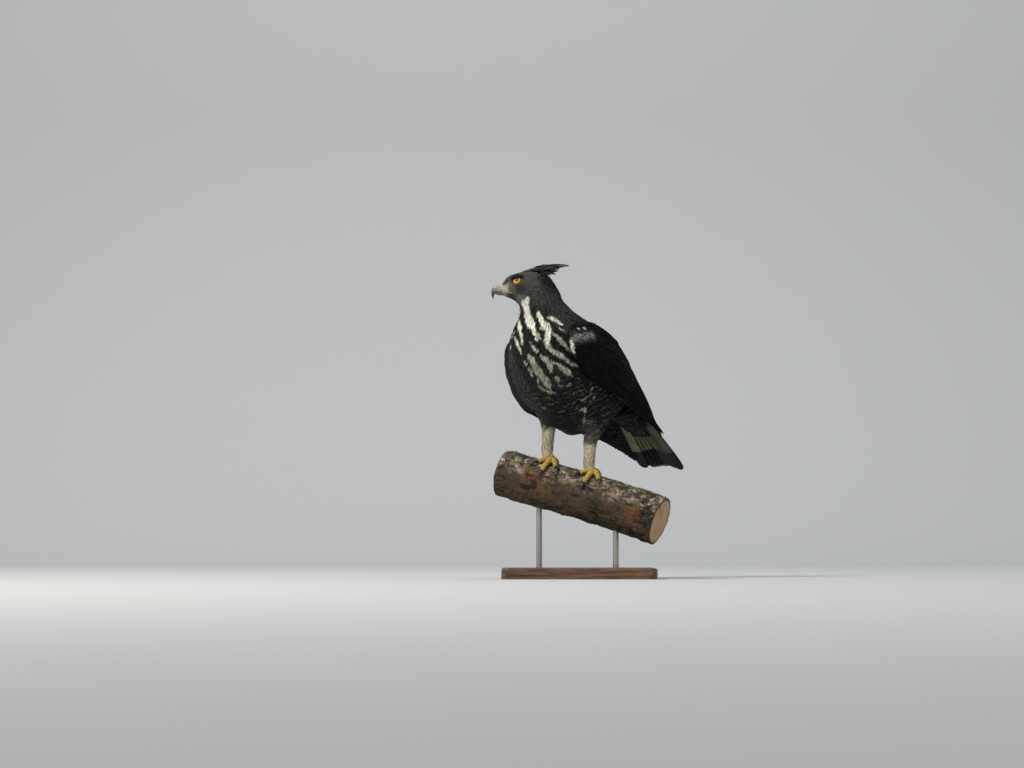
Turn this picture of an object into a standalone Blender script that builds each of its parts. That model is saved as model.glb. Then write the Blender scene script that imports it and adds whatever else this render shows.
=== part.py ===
"""A perched Blyth's hawk-eagle at life size, on a cut length of branch held by a plain stand.

Sizes are in millimetres and are turned into metres where a mesh is made. The bird's own frame
counts s forward, t to its left and u up from the top of the perch under its left foot. The head
has a frame of its own, turned to the bird's right: h forward, w to its left, v up from the eyes.
"""

import math
import random

import bmesh
import bpy
import numpy as np

MM = 0.001
SEED = 7

# Where the bird stands and how it is turned
PERCH_TOP = 178.0
BIRD_X = 20.4
BIRD_Y = 30.0
BODY_YAW = 42.0
HEAD_YAW = 5.0
HEAD_X = -103.5
HEAD_Y = -46.0
HEAD_RISE = 320.5

# Clearance between pieces that meet, and the finer one between facing ends
GAP = 0.35
FACE_GAP = 0.3
LEVEL_ANGLE = 0.5

# Body
RING_POINTS = 28
BODY_SQUARENESS = 2.2
TAIL_PITCH = 46.5
TAIL_END_S = -182.0
TAIL_END_U = 16.0

# Tail feathers
RECTRICES = 12
RECTRIX_HALF_WIDTH = 12.6
RECTRIX_THICK = 1.0
RECTRIX_ROOT = 122.0
RECTRIX_LEAN = 3.0
TAIL_LENGTH = 150.0
TAIL_SPREAD_ROOT = 2.4
TAIL_SPREAD_END = 8.6
TAIL_SWING = 7.0

# Legs and feet
TARSUS_RADIUS = 10.6
TOE_RADIUS = 4.9
TOE_END_RADIUS = 3.6
CLAW_RADIUS = 2.9

# Eyes
EYE_RADIUS = 8.2
EYE_SIDE = 13.9
EYE_FORWARD = 1.6
EYE_RISE = 1.6

# Perch and stand
BRANCH_RADIUS = 41.0
BRANCH_POINTS = 20
BRANCH_PATH = ((-126.0, 41.5, 179.0), (-90.0, 26.5, 168.5), (-52.6, 11.0, 157.5), (-17.0, -4.0, 147.0),
               (18.7, -18.8, 136.5), (60.0, -36.0, 123.0), (100.0, -52.0, 109.0), (134.0, -66.0, 96.0))
BASE_LENGTH = 260.0
BASE_WIDTH = 170.0
BASE_THICK = 18.0
BASE_CORNER = 14.0
ROD_RADIUS = 5.0
ROD_SPOTS = (-66.0, 62.0)
ROD_POINTS = 20
# How far up in the branch each rod ends, as a share of the branch's radius below its centre
ROD_END = 0.55


def turned(yaw):
    """Forward and left directions, seen from above, of a frame turned by yaw degrees."""
    angle = math.radians(yaw)
    forward = np.array((-math.cos(angle), -math.sin(angle), 0.0))
    left = np.array((math.sin(angle), -math.cos(angle), 0.0))
    return forward, left


UP = np.array((0.0, 0.0, 1.0))
FORWARD, LEFT = turned(BODY_YAW)
HEAD_FORWARD, HEAD_LEFT = turned(HEAD_YAW)
BIRD_ORIGIN = np.array((BIRD_X, BIRD_Y, PERCH_TOP))
HEAD_ORIGIN = np.array((HEAD_X, HEAD_Y, PERCH_TOP + HEAD_RISE))


def bird(s, t, u):
    """World position of a point in the bird's frame."""
    return BIRD_ORIGIN + s * FORWARD + t * LEFT + u * UP


def on_head(h, w, v):
    """World position of a point in the head's frame."""
    return HEAD_ORIGIN + h * HEAD_FORWARD + w * HEAD_LEFT + v * UP


def unit(vector):
    """The vector at length one."""
    return vector / np.linalg.norm(vector)


def smooth(rows, count):
    """Rows of numbers, as points of a path, carried to count rows by a smooth curve through them."""
    rows = np.array(rows, float)
    ends = np.vstack((2 * rows[0] - rows[1], rows, 2 * rows[-1] - rows[-2]))
    found = []
    for place in np.linspace(0, len(rows) - 1, count):
        i = min(int(place), len(rows) - 2)
        k = place - i
        a, b, c, d = ends[i:i + 4]
        found.append(0.5 * (2 * b + (c - a) * k + (2 * a - 5 * b + 4 * c - d) * k * k
                            + (3 * b - a - 3 * c + d) * k ** 3))
    return np.array(found)


# Meshes

def mesh_object(name, points, faces):
    """An object from points in millimetres and faces, its normals turned outward."""
    mesh = bpy.data.meshes.new(name)
    mesh.from_pydata([tuple(p * MM) for p in np.asarray(points)], [], faces)
    work = bmesh.new()
    work.from_mesh(mesh)
    bmesh.ops.triangulate(work, faces=[f for f in work.faces if len(f.verts) > 3])
    bmesh.ops.recalc_face_normals(work, faces=work.faces)
    if work.calc_volume(signed=True) < 0:
        bmesh.ops.reverse_faces(work, faces=work.faces)
    work.to_mesh(mesh)
    work.free()
    made = bpy.data.objects.new(name, mesh)
    bpy.context.scene.collection.objects.link(made)
    return made


def loft(name, rings):
    """A closed tube through rings of equal count, both ends closed."""
    count = len(rings[0])
    points = [p for ring in rings for p in ring]
    faces = []
    for r in range(len(rings) - 1):
        for i in range(count):
            j = (i + 1) % count
            a, b = r * count + i, r * count + j
            faces.append((a, b, b + count, a + count))
    if count == 4:
        faces += [(3, 2, 1, 0), tuple(range(len(points) - 4, len(points)))]
        return mesh_object(name, points, faces)
    points += [np.mean(rings[0], axis=0), np.mean(rings[-1], axis=0)]
    first, last = len(points) - 2, len(points) - 1
    for i in range(count):
        j = (i + 1) % count
        faces.append((first, j, i))
        faces.append((last, (len(rings) - 1) * count + i, (len(rings) - 1) * count + j))
    return mesh_object(name, points, faces)


def oval(centre, side, rise, half_side, half_up, half_down, count, squareness=2.0):
    """A ring of points round a centre: egg-shaped where half_up and half_down differ."""
    ring = []
    for i in range(count):
        angle = 2 * math.pi * i / count
        across, along = math.sin(angle), math.cos(angle)
        across = math.copysign(abs(across) ** (2 / squareness), across)
        along = math.copysign(abs(along) ** (2 / squareness), along)
        ring.append(centre + side * half_side * across + rise * along * (half_up if along > 0 else half_down))
    return ring


def tube(name, path, rises, radii, count, flat=1.0):
    """A round tube along a path, upright to a rise at each point. flat scales its height."""
    rings = []
    for i, centre in enumerate(path):
        along = unit(path[min(i + 1, len(path) - 1)] - path[max(i - 1, 0)])
        side = unit(np.cross(along, rises[i]))
        up = np.cross(side, along)
        rings.append(oval(centre, side, up, radii[i], radii[i] * flat, radii[i] * flat, count))
    return loft(name, rings)


def ball(name, centre, half, axes=None, rows=8, count=14):
    """An ellipsoid with half sizes along three axes."""
    axes = np.eye(3) if axes is None else np.array(axes)
    rings = []
    for r in range(1, rows):
        lean = math.pi * r / rows
        at = centre + axes[2] * half[2] * math.cos(lean)
        rings.append(oval(at, axes[0], axes[1], half[0] * math.sin(lean), half[1] * math.sin(lean),
                          half[1] * math.sin(lean), count))
    points = [p for ring in rings for p in ring]
    points += [centre + axes[2] * half[2], centre - axes[2] * half[2]]
    top, bottom = len(points) - 2, len(points) - 1
    faces = []
    for r in range(len(rings) - 1):
        for i in range(count):
            j = (i + 1) % count
            faces.append((r * count + i, r * count + j, (r + 1) * count + j, (r + 1) * count + i))
    last = (len(rings) - 1) * count
    for i in range(count):
        j = (i + 1) % count
        faces.append((top, j, i))
        faces.append((bottom, last + i, last + j))
    return mesh_object(name, points, faces)


def grown(source, by):
    """A copy of an object with every face moved out by about the given distance."""
    copy = source.copy()
    copy.data = source.data.copy()
    bpy.context.scene.collection.objects.link(copy)
    work = bmesh.new()
    work.from_mesh(copy.data)
    work.normal_update()
    moves = [v.normal * (by * MM * min(v.calc_shell_factor(), 2.0)) for v in work.verts]
    for vertex, move in zip(work.verts, moves):
        vertex.co += move
    work.to_mesh(copy.data)
    work.free()
    return copy


def simplified(item):
    """The node with its level faces merged before they are split into triangles again."""
    work = bmesh.new()
    work.from_mesh(item.data)
    bmesh.ops.dissolve_limit(work, angle_limit=math.radians(LEVEL_ANGLE), verts=work.verts, edges=work.edges)
    work.to_mesh(item.data)
    work.free()
    keep_largest(item)
    return item


def discard(objects):
    """Takes objects out of the scene."""
    for item in list(objects):
        bpy.data.objects.remove(item, do_unlink=True)


def keep_largest(item):
    """Leaves only the closed surface with the greatest volume in a mesh."""
    work = bmesh.new()
    work.from_mesh(item.data)
    bmesh.ops.remove_doubles(work, verts=work.verts, dist=1e-7)
    bmesh.ops.triangulate(work, faces=work.faces)
    waiting = set(work.faces)
    shells = []
    while waiting:
        stack = [waiting.pop()]
        shell = []
        while stack:
            face = stack.pop()
            shell.append(face)
            for edge in face.edges:
                for other in edge.link_faces:
                    if other in waiting:
                        waiting.discard(other)
                        stack.append(other)
        volume = sum(f.verts[0].co.dot(f.verts[1].co.cross(f.verts[2].co)) for f in shell)
        shells.append((volume, shell))
    shells.sort(key=lambda entry: entry[0])
    for _, shell in shells[:-1]:
        bmesh.ops.delete(work, geom=shell, context="FACES")
    loose = [v for v in work.verts if not v.link_faces]
    bmesh.ops.delete(work, geom=loose, context="VERTS")
    work.to_mesh(item.data)
    work.free()


def combine(base, others, operation, solver):
    """Applies one Boolean of a collection of closed meshes to the base, and removes the others."""
    group = bpy.data.collections.new("pieces")
    bpy.context.scene.collection.children.link(group)
    for item in others:
        for old in list(item.users_collection):
            old.objects.unlink(item)
        group.objects.link(item)
    step = base.modifiers.new("combine", "BOOLEAN")
    step.operation = operation
    step.operand_type = "COLLECTION"
    step.collection = group
    step.solver = solver
    bpy.context.view_layer.update()
    result = bpy.data.meshes.new_from_object(base.evaluated_get(bpy.context.evaluated_depsgraph_get()))
    base.modifiers.clear()
    base.data = result
    discard(others)
    bpy.data.collections.remove(group)
    keep_largest(base)
    return base


def joined(name, pieces, solver="MANIFOLD"):
    """One closed node from overlapping closed pieces."""
    base = pieces[0]
    base.name = name
    return combine(base, pieces[1:], "UNION", solver) if len(pieces) > 1 else base


def cut(base, cutters, solver="MANIFOLD"):
    """The base with the cutters' room taken out of it."""
    return combine(base, cutters, "DIFFERENCE", solver)


def finish(item, colour, roughness, metallic=0.0, round_shading=True):
    """Gives a node its own material and its shading."""
    material = bpy.data.materials.new(item.name + "_material")
    material.use_nodes = True
    shader = material.node_tree.nodes["Principled BSDF"]
    shader.inputs["Base Color"].default_value = (*colour, 1.0)
    shader.inputs["Roughness"].default_value = roughness
    shader.inputs["Metallic"].default_value = metallic
    item.data.materials.clear()
    item.data.materials.append(material)
    for face in item.data.polygons:
        face.use_smooth = round_shading
    return item


# Body, neck and head forms

def body_ring(back, front, half_width, shift=0.0):
    """A ring across the body from a point of its back to one of its front, both given as (s, u)."""
    top, bottom = bird(back[0], 0, back[1]), bird(front[0], 0, front[1])
    rise = unit(top - bottom)
    along = unit(np.cross(LEFT, rise))
    centre = (top + bottom) / 2 + along * shift
    half = np.linalg.norm(top - bottom) / 2
    return oval(centre, LEFT, rise, half_width, half, half, RING_POINTS, BODY_SQUARENESS)


def neck_ring(top, bottom, half_width, yaw, depth, shift=0.0):
    """A ring across the head or neck between two profile points (h, v), turned to its own yaw."""
    _, side = turned(yaw)
    high = on_head(top[0], depth, top[1])
    low = on_head(bottom[0], depth, bottom[1])
    rise = unit(high - low)
    side = unit(side - rise * side.dot(rise))
    along = unit(np.cross(side, rise))
    centre = (high + low) / 2 + along * shift
    half = np.linalg.norm(high - low) / 2
    return oval(centre, side, rise, half_width, half, half, RING_POINTS)


HEAD_RINGS = (((27.2, -5.0), (27.2, -22.6), 8.2, 5.0, 0.0),
              ((20.9, 4.6), (19.8, -24.4), 11.6, 5.0, 0.0),
              ((12.0, 10.6), (11.0, -27.6), 16.6, 5.0, 0.0),
              ((2.6, 14.0), (3.4, -31.4), 20.6, 5.0, 0.0),
              ((-8.8, 17.0), (-0.6, -35.6), 23.6, 5.0, 0.0),
              ((-22.6, 20.6), (-3.6, -39.4), 25.2, 8.0, 0.0),
              ((-39.0, 19.6), (-5.2, -42.6), 26.4, 12.0, 0.0),
              ((-54.4, 10.8), (-5.6, -44.6), 27.6, 16.0, 0.0))
NECK_STEPS = 4
NECK_SWELL = 0.1
TORSO_RINGS = (((78.0, 291.0), (145.0, 268.0), 38.0),
               ((58.0, 274.0), (154.0, 241.0), 51.0),
               ((28.0, 260.0), (163.0, 211.0), 63.0),
               ((-3.0, 243.0), (165.0, 178.0), 69.0),
               ((-28.0, 221.0), (152.0, 143.0), 70.0),
               ((-47.0, 197.0), (124.0, 110.0), 67.0),
               ((-60.0, 177.0), (85.0, 84.0), 62.0),
               ((-69.0, 159.0), (38.0, 64.0), 50.0),
               ((-76.0, 145.0), (-18.0, 86.0), 38.0))


def make_torso():
    """The trunk from the base of the neck to the root of the tail."""
    rings = [body_ring(*row) for row in TORSO_RINGS]
    return loft("torso", rings)


def make_neck():
    """The neck, passing evenly from the flat back of the head to the trunk."""
    first = np.array(neck_ring(*HEAD_RINGS[-1], shift=-FACE_GAP))
    last = np.array(body_ring(*TORSO_RINGS[0], shift=FACE_GAP))
    rings = []
    for k in np.linspace(0, 1, NECK_STEPS):
        ring = first * (1 - k) + last * k
        middle = ring.mean(axis=0)
        rings.append(list(middle + (ring - middle) * (1 + NECK_SWELL * math.sin(math.pi * k))))
    return loft("neck", rings)


LID_RADIUS = 7.3
LID_THICK = 1.25
LID_SIDE = 17.6
LID_LEAN = 16.0
BROW = (3.0, 16.2, 9.4)
BROW_HALF = (12.5, 4.0, 2.4)
BROW_SLOPE = 12.0
# The line of the mouth on the head: h, v and half width of the head there
MOUTH_LINE = ((28.6, -17.3, 6.9), (20.4, -17.6, 9.9), (12.0, -18.8, 13.6))
MOUTH_DEEP = 1.4
MOUTH_HIGH = 0.9
NOSTRIL = (31.0, 6.9, -9.0)
NOSTRIL_HALF = (1.9, 1.3, 1.1)


def lid_ring(name, sign):
    """A round rim of skin about one eye, facing a little up."""
    lean = math.radians(LID_LEAN)
    out = HEAD_LEFT * sign * math.cos(lean) + UP * math.sin(lean)
    across = HEAD_FORWARD
    rise = unit(np.cross(out, across))
    centre = on_head(EYE_FORWARD, LID_SIDE * sign, EYE_RISE)
    points, faces = [], []
    around, section = 14, 4
    for i in range(around):
        turn = 2 * math.pi * i / around
        spoke = across * math.cos(turn) + rise * math.sin(turn)
        for j in range(section):
            lap = 2 * math.pi * j / section
            points.append(centre + spoke * (LID_RADIUS + LID_THICK * math.cos(lap))
                          + out * LID_THICK * math.sin(lap))
    for i in range(around):
        k = (i + 1) % around
        for j in range(section):
            m = (j + 1) % section
            faces.append((i * section + j, k * section + j, k * section + m, i * section + m))
    return mesh_object(name, points, faces)


def mouth_cutter(sign):
    """A thin wedge along one side of the face, from the bill to the corner of the mouth."""
    rings = []
    for h, v, half_width in MOUTH_LINE:
        inner, outer = half_width - MOUTH_DEEP, half_width + 4.0
        high = MOUTH_HIGH / 2
        rings.append([on_head(h, sign * inner, v + high * 0.4), on_head(h, sign * outer, v + high),
                      on_head(h, sign * outer, v - high), on_head(h, sign * inner, v - high * 0.4)])
    return loft("mouth_cutter", rings)


def make_head():
    """The head with brows and lids, before the sockets and the line of the mouth are cut."""
    slope = math.radians(BROW_SLOPE)
    axes = (HEAD_FORWARD * math.cos(slope) - UP * math.sin(slope), HEAD_LEFT,
            HEAD_FORWARD * math.sin(slope) + UP * math.cos(slope))
    pieces = [loft("head", [neck_ring(*row) for row in HEAD_RINGS])]
    for sign in (1, -1):
        pieces.append(ball("brow", on_head(BROW[0], BROW[1] * sign, BROW[2]), BROW_HALF, axes, 5, 10))
        pieces.append(lid_ring("lid", sign))
    return joined("head", pieces)


def make_eye(name, sign):
    """One eyeball."""
    centre = on_head(EYE_FORWARD, EYE_SIDE * sign, EYE_RISE)
    return ball(name, centre, (EYE_RADIUS,) * 3, (HEAD_FORWARD, UP, HEAD_LEFT), 8, 16)


UPPER_BILL = ((27.5, -10.9, 180.0, 6.0, 7.6), (33.0, -10.9, 180.0, 6.2, 7.2), (38.0, -11.7, 200.0, 5.6, 5.9),
              (40.1, -15.7, 232.0, 3.7, 4.1), (40.9, -21.2, 262.0, 2.2, 2.5), (40.8, -25.6, 275.0, 1.2, 1.3),
              (40.0, -29.1, 285.0, 0.35, 0.35))
LOWER_BILL = ((27.5, -19.9, 180.0, 2.4, 6.8), (32.0, -19.9, 178.0, 2.1, 5.2), (35.0, -19.7, 176.0, 1.3, 3.0),
              (36.3, -19.6, 175.0, 0.5, 1.0))
BILL_POINTS = 16


def bill_piece(name, rows):
    """A half of the bill from rows of h, v, the heading of its midline, half height and half width."""
    rings = []
    for h, v, heading, half_high, half_wide in rows:
        angle = math.radians(heading)
        along = -HEAD_FORWARD * math.cos(angle) + UP * math.sin(angle)
        rise = unit(np.cross(along, HEAD_LEFT))
        rise = rise if rise.dot(UP) + rise.dot(HEAD_FORWARD) > 0 else -rise
        rings.append(oval(on_head(h, 0.0, v), HEAD_LEFT, rise, half_wide, half_high, half_high, BILL_POINTS))
    return loft(name, rings)


# Feathers

VANE_STATIONS = ((0.0, 0.5), (0.35, 0.9), (0.72, 1.0), (0.92, 0.66), (1.0, 0.22))


def vane(name, place, half_width, thickness, tilt=0.0, stations=VANE_STATIONS):
    """One feather as a thin closed plate. place gives a point and a normal for a share of its length."""
    rings = []
    for share, spread in stations:
        centre, normal = place(share)
        ahead, _ = place(min(share + 0.02, 1.02))
        behind, _ = place(max(share - 0.02, -0.02))
        along = unit(ahead - behind)
        side = unit(np.cross(normal, along))
        lean = math.radians(tilt)
        side, normal = (side * math.cos(lean) + normal * math.sin(lean),
                        normal * math.cos(lean) - side * math.sin(lean))
        wide = side * half_width * spread
        thick = normal * thickness / 2
        rings.append([centre + wide + thick, centre - wide + thick, centre - wide - thick,
                      centre + wide - thick])
    return loft(name, rings)


# Crest: each feather's root, bend and tip in the head's frame, its half width and its lean
CREST = (((-28.0, 1.0, 19.0), (-54.0, 1.5, 35.0), (-86.0, 2.0, 30.0), 4.2, 30.0),
         ((-27.0, -1.5, 19.0), (-50.0, -3.0, 31.5), (-79.0, -3.5, 27.5), 4.6, -35.0),
         ((-32.0, 3.0, 18.0), (-52.0, 5.0, 27.0), (-72.0, 5.0, 23.0), 4.8, 40.0),
         ((-34.0, -3.5, 17.5), (-52.0, -5.0, 24.0), (-68.5, -5.0, 19.5), 4.8, -40.0),
         ((-36.0, 1.5, 16.5), (-50.0, 2.0, 19.5), (-63.0, 2.5, 15.0), 4.8, 30.0),
         ((-26.0, 0.0, 19.0), (-38.0, 0.0, 28.0), (-51.0, 0.5, 32.0), 3.6, -20.0))
CREST_ROOT = (-37.0, 0.0, 18.0)
CREST_ROOT_HALF = (15.0, 9.0, 7.0)
CREST_LEAN = 14.0
CREST_THICK = 1.1


def bent(root, bend, tip, share):
    """A point of the curve from root to tip that leans toward bend."""
    return root * (1 - share) ** 2 + bend * 2 * share * (1 - share) + tip * share * share


def make_crest_pieces():
    """The raised feathers at the back of the crown, on a root that sits in the head."""
    lean = math.radians(CREST_LEAN)
    axes = (-HEAD_FORWARD * math.cos(lean) + UP * math.sin(lean), HEAD_LEFT,
            HEAD_FORWARD * math.sin(lean) + UP * math.cos(lean))
    pieces = [ball("crest", on_head(*CREST_ROOT), CREST_ROOT_HALF, axes, 6, 12)]
    for root, bend, tip, half_width, tilt in CREST:
        root, bend, tip = on_head(*root), on_head(*bend), on_head(*tip)
        normal = unit(np.cross(HEAD_LEFT, tip - root))
        normal = normal if normal.dot(UP) > 0 else -normal

        def at(share, root=root, bend=bend, tip=tip, normal=normal):
            return bent(root, bend, tip, share), normal

        pieces.append(vane("crest_feather", at, half_width, CREST_THICK, tilt))
    return pieces


# Wings

LEFT_WING = ((110.0, 70.0, 216.0, 99.0, 62.0, 240.0, 3.0, 9.0),
             (110.0, 78.0, 196.0, 80.0, 59.0, 248.0, 8.0, 13.0),
             (85.0, 82.0, 170.0, 31.0, 48.0, 249.0, 12.0, 15.0),
             (37.0, 80.0, 145.0, -32.0, 33.0, 223.0, 15.0, 13.0),
             (-23.0, 69.0, 117.0, -72.0, 20.0, 183.0, 14.0, 10.0),
             (-82.0, 52.0, 94.0, -111.0, 12.0, 139.0, 9.0, 7.0),
             (-128.0, 36.0, 74.0, -133.0, 13.0, 102.0, 4.0, 5.0),
             (-163.0, 26.0, 60.0, -166.0, 18.0, 72.0, 0.5, 2.4))
RIGHT_WING = ((112.0, 70.0, 228.0, 101.0, 62.0, 240.0, 3.0, 9.0),
              (119.0, 78.0, 206.0, 82.0, 60.0, 248.0, 8.0, 13.0),
              (108.0, 80.0, 160.0, 36.0, 48.0, 246.0, 13.0, 15.0),
              (74.0, 77.0, 112.0, -22.0, 34.0, 215.0, 17.0, 13.0),
              (8.0, 72.0, 88.0, -66.0, 23.0, 170.0, 17.0, 10.0),
              (-80.0, 64.0, 62.0, -114.0, 24.0, 116.0, 11.0, 7.0),
              (-136.0, 54.0, 37.0, -148.0, 33.0, 68.0, 5.0, 5.0),
              (-170.0, 45.0, 16.0, -172.0, 39.0, 27.0, 0.5, 2.4))
WING_CORE_END = 0.94
CORE_INSET = 1.3
WING_SECTIONS = 15
WING_SPAN_POINTS = 7
WING_STEP = 0.03
# Thickness of the core's rim as a share of its middle
WING_RIM = 0.18


def wing_rows(rows, a):
    """The wing's controls at a share a of its length, by the smooth curve through the rows."""
    rows = np.array(rows, float)
    place = a * (len(rows) - 1)
    ends = np.vstack((2 * rows[0] - rows[1], rows, 2 * rows[-1] - rows[-2]))
    i = min(max(int(place), 0), len(rows) - 2)
    k = place - i
    p, q, r, s = ends[i:i + 4]
    return 0.5 * (2 * q + (r - p) * k + (2 * p - 5 * q + 4 * r - s) * k * k
                  + (3 * q - p - 3 * r + s) * k ** 3)


def wing_place(rows, sign, a, b):
    """A point of the folded wing's outer face and the normal there. b runs from lower to upper edge."""
    row = wing_rows(rows, a)
    before, after = wing_rows(rows, a - WING_STEP), wing_rows(rows, a + WING_STEP)

    def edges(found):
        low = bird(found[0], sign * found[1], found[2])
        high = bird(found[3], sign * found[4], found[5])
        return low, high

    low, high = edges(row)
    along = unit(sum(edges(after)) - sum(edges(before)))
    outward = unit(np.cross(along, high - low)) * sign
    outward = outward if outward.dot(LEFT) * sign > 0 else -outward
    bulge = row[6] * 4 * b * (1 - b)
    point = low + (high - low) * b + outward * bulge
    lean = row[6] * 4 * (1 - 2 * b) / max(np.linalg.norm(high - low), 1.0)
    normal = unit(outward - unit(high - low) * lean)
    return point, normal, row[7]


def rim_share(b):
    """How thick the wing's core is at b, as a share of its middle."""
    return WING_RIM + (1 - WING_RIM) * math.sqrt(max(0.0, 4 * b * (1 - b)))


def wing_core(name, rows, sign):
    """The fleshy wing under its feathers: a curved shell with a thin rim."""
    rings = []
    for a in np.linspace(0, WING_CORE_END, WING_SECTIONS):
        outer, inner = [], []
        for b in np.linspace(0, 1, WING_SPAN_POINTS):
            point, normal, thick = wing_place(rows, sign, a, b)
            share = rim_share(b)
            outer.append(point - normal * CORE_INSET)
            inner.append(point - normal * (CORE_INSET + thick * share))
        rings.append(outer + inner[::-1])
    return loft(name, rings)


WING_ROOM = 14.0
WING_MARGIN = 3.0


def wing_room(rows, sign):
    """The room that a folded wing takes out of the trunk: under its core by the gap, and all above it."""
    rings = []
    for a in (-0.012, *np.linspace(0, WING_CORE_END, WING_SECTIONS), WING_CORE_END + 0.01):
        across = wing_rows(rows, a)
        margin = WING_MARGIN / math.dist(across[0:3], across[3:6])
        outer, inner = [], []
        for b in (-margin, *np.linspace(0, 1, WING_SPAN_POINTS), 1 + margin):
            point, normal, thick = wing_place(rows, sign, a, b)
            share = rim_share(b)
            outer.append(point + normal * WING_ROOM)
            inner.append(point - normal * (CORE_INSET + thick * share + GAP))
        rings.append(outer + inner[::-1])
    return loft("wing_room", rings)


# Tiers of covert feathers: root and tip along the wing, how many, span across it, half width
COVERTS = ((0.03, 0.21, 5, (0.14, 0.86), 10.0),
           (0.13, 0.33, 5, (0.10, 0.90), 11.5),
           (0.24, 0.44, 6, (0.09, 0.91), 11.0),
           (0.35, 0.57, 6, (0.08, 0.91), 11.4))
COVERT_LIFT = 1.7
SECONDARIES = 7
SECONDARY_SPAN = (0.32, 0.92)
SECONDARY_ENDS = (0.46, 0.80)
SECONDARY_HALF_WIDTH = 9.6
# Each primary: place across the wing at its root and at its tip, and where its tip ends
PRIMARIES = ((0.06, 0.10, 0.84), (0.12, 0.22, 0.93), (0.18, 0.42, 1.0), (0.25, 0.62, 0.99),
             (0.33, 0.80, 0.94))
PRIMARY_ROOT = 0.46
PRIMARY_HALF_WIDTH = 8.4
COVERT_STATIONS = ((0.0, 0.6), (0.6, 1.0), (1.0, 0.34))
FLIGHT_STATIONS = ((0.0, 0.55), (0.5, 1.0), (0.9, 0.8), (1.0, 0.26))
FEATHER_THICK = 1.0
FEATHER_SINK = 1.0
FEATHER_TILT = 6.8
FEATHER_TRIM = 0.6


def wing_feather(rows, sign, start, end, half_width, lift, stations):
    """A feather over the wing from start (a, b) to end (a, b), its root sunk in and its tip raised."""
    def at(share):
        a = start[0] + (end[0] - start[0]) * share
        b = start[1] + (end[1] - start[1]) * share
        point, normal, _ = wing_place(rows, sign, a, b)
        return point + normal * (lift * share - (CORE_INSET + FEATHER_SINK) * (1 - share)), normal

    return vane("wing_feather", at, half_width, FEATHER_THICK, FEATHER_TILT * sign, stations)


def make_feathers(rows, sign, dice):
    """The flight feathers and four tiers of coverts of one folded wing."""
    found = []
    for i, (root, tip, end) in enumerate(PRIMARIES):
        found.append(wing_feather(rows, sign, (PRIMARY_ROOT, root), (end, tip), PRIMARY_HALF_WIDTH,
                                  -1.2 + 0.5 * i, FLIGHT_STATIONS))
    low, high = SECONDARY_SPAN
    for i in range(SECONDARIES):
        b = low + (high - low) * i / (SECONDARIES - 1)
        end = SECONDARY_ENDS[1] - 0.004 * (i - 2) ** 2 + dice.uniform(-0.006, 0.006)
        found.append(wing_feather(rows, sign, (SECONDARY_ENDS[0], b * 0.94 + 0.02), (end, b),
                                  SECONDARY_HALF_WIDTH, 1.4, FLIGHT_STATIONS))
    for start, end, count, span, half_width in COVERTS:
        for i in range(count):
            b = span[0] + (span[1] - span[0]) * i / (count - 1)
            last = end + dice.uniform(-0.008, 0.008)
            found.append(wing_feather(rows, sign, (start, b), (last, b), half_width, COVERT_LIFT,
                                      COVERT_STATIONS))
    return found


# Legs

# Each thigh from the flank down: s, t, u, half length and half width
LEFT_THIGH = ((18.0, 37.0, 148.0, 32.0, 19.0), (19.0, 42.0, 120.0, 33.0, 23.0),
              (22.0, 45.0, 98.0, 29.0, 21.0), (26.0, 42.0, 78.0, 21.0, 17.0),
              (32.0, 38.0, 60.0, 14.0, 13.0), (34.0, 36.6, 50.0, 11.6, 11.6))
RIGHT_THIGH = ((46.0, 38.0, 148.0, 30.0, 18.0), (50.0, 42.0, 123.0, 29.0, 21.0),
               (56.0, 43.0, 103.0, 24.0, 18.0), (59.0, 39.0, 89.0, 16.0, 14.0),
               (61.0, 37.0, 75.0, 11.4, 11.4))
LEFT_ANKLE = (35.5, 35.0, 10.0)
RIGHT_ANKLE = (66.7, 35.0, 33.0)
LEG_POINTS = 14


def flat_ring(s, t, u, half_long, half_wide, count=LEG_POINTS):
    """A level ring round a leg."""
    return oval(bird(s, t, u), LEFT, FORWARD, half_wide, half_long, half_long, count)


def make_thigh(name, rows, sign):
    """The feathered thigh, from inside the flank to the tarsus."""
    return loft(name, [flat_ring(s, sign * t, u, a, b) for s, t, u, a, b in rows])


def make_tarsus(name, rows, ankle, sign):
    """The feathered tarsus, from the thigh to just above the toes."""
    s, t, u = rows[-1][:3]
    top = np.array((s, t, u - FACE_GAP))
    foot = np.array(ankle)
    rings = []
    for share, radius in ((0.0, 1.08), (0.3, 1.02), (0.65, 0.96), (0.88, 1.0), (1.0, 0.9)):
        at = top + (foot - top) * share
        rings.append(flat_ring(at[0], sign * at[1], at[2], TARSUS_RADIUS * radius, TARSUS_RADIUS * radius))
    return loft(name, rings)


def branch_frame(x):
    """Centre, direction, upward and camera-side directions of the branch at a place along world x."""
    path = smooth(BRANCH_PATH, 57)
    i = int(np.clip(np.searchsorted(path[:, 0], x), 1, len(path) - 1))
    k = (x - path[i - 1, 0]) / (path[i, 0] - path[i - 1, 0])
    centre = path[i - 1] + (path[i] - path[i - 1]) * k
    along = unit(path[min(i + 1, len(path) - 1)] - path[max(i - 2, 0)])
    front = unit(np.cross(along, UP))
    return centre, along, unit(np.cross(front, along)), front


def on_bark(x, turn, along_by, height):
    """A point above the bark and the direction out of it there. turn runs from the top to the front."""
    centre, _, rise, front = branch_frame(x + along_by * 0.9)
    angle = math.radians(turn)
    outward = rise * math.cos(angle) + front * math.sin(angle)
    return centre + outward * (BRANCH_RADIUS + height), outward


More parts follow.
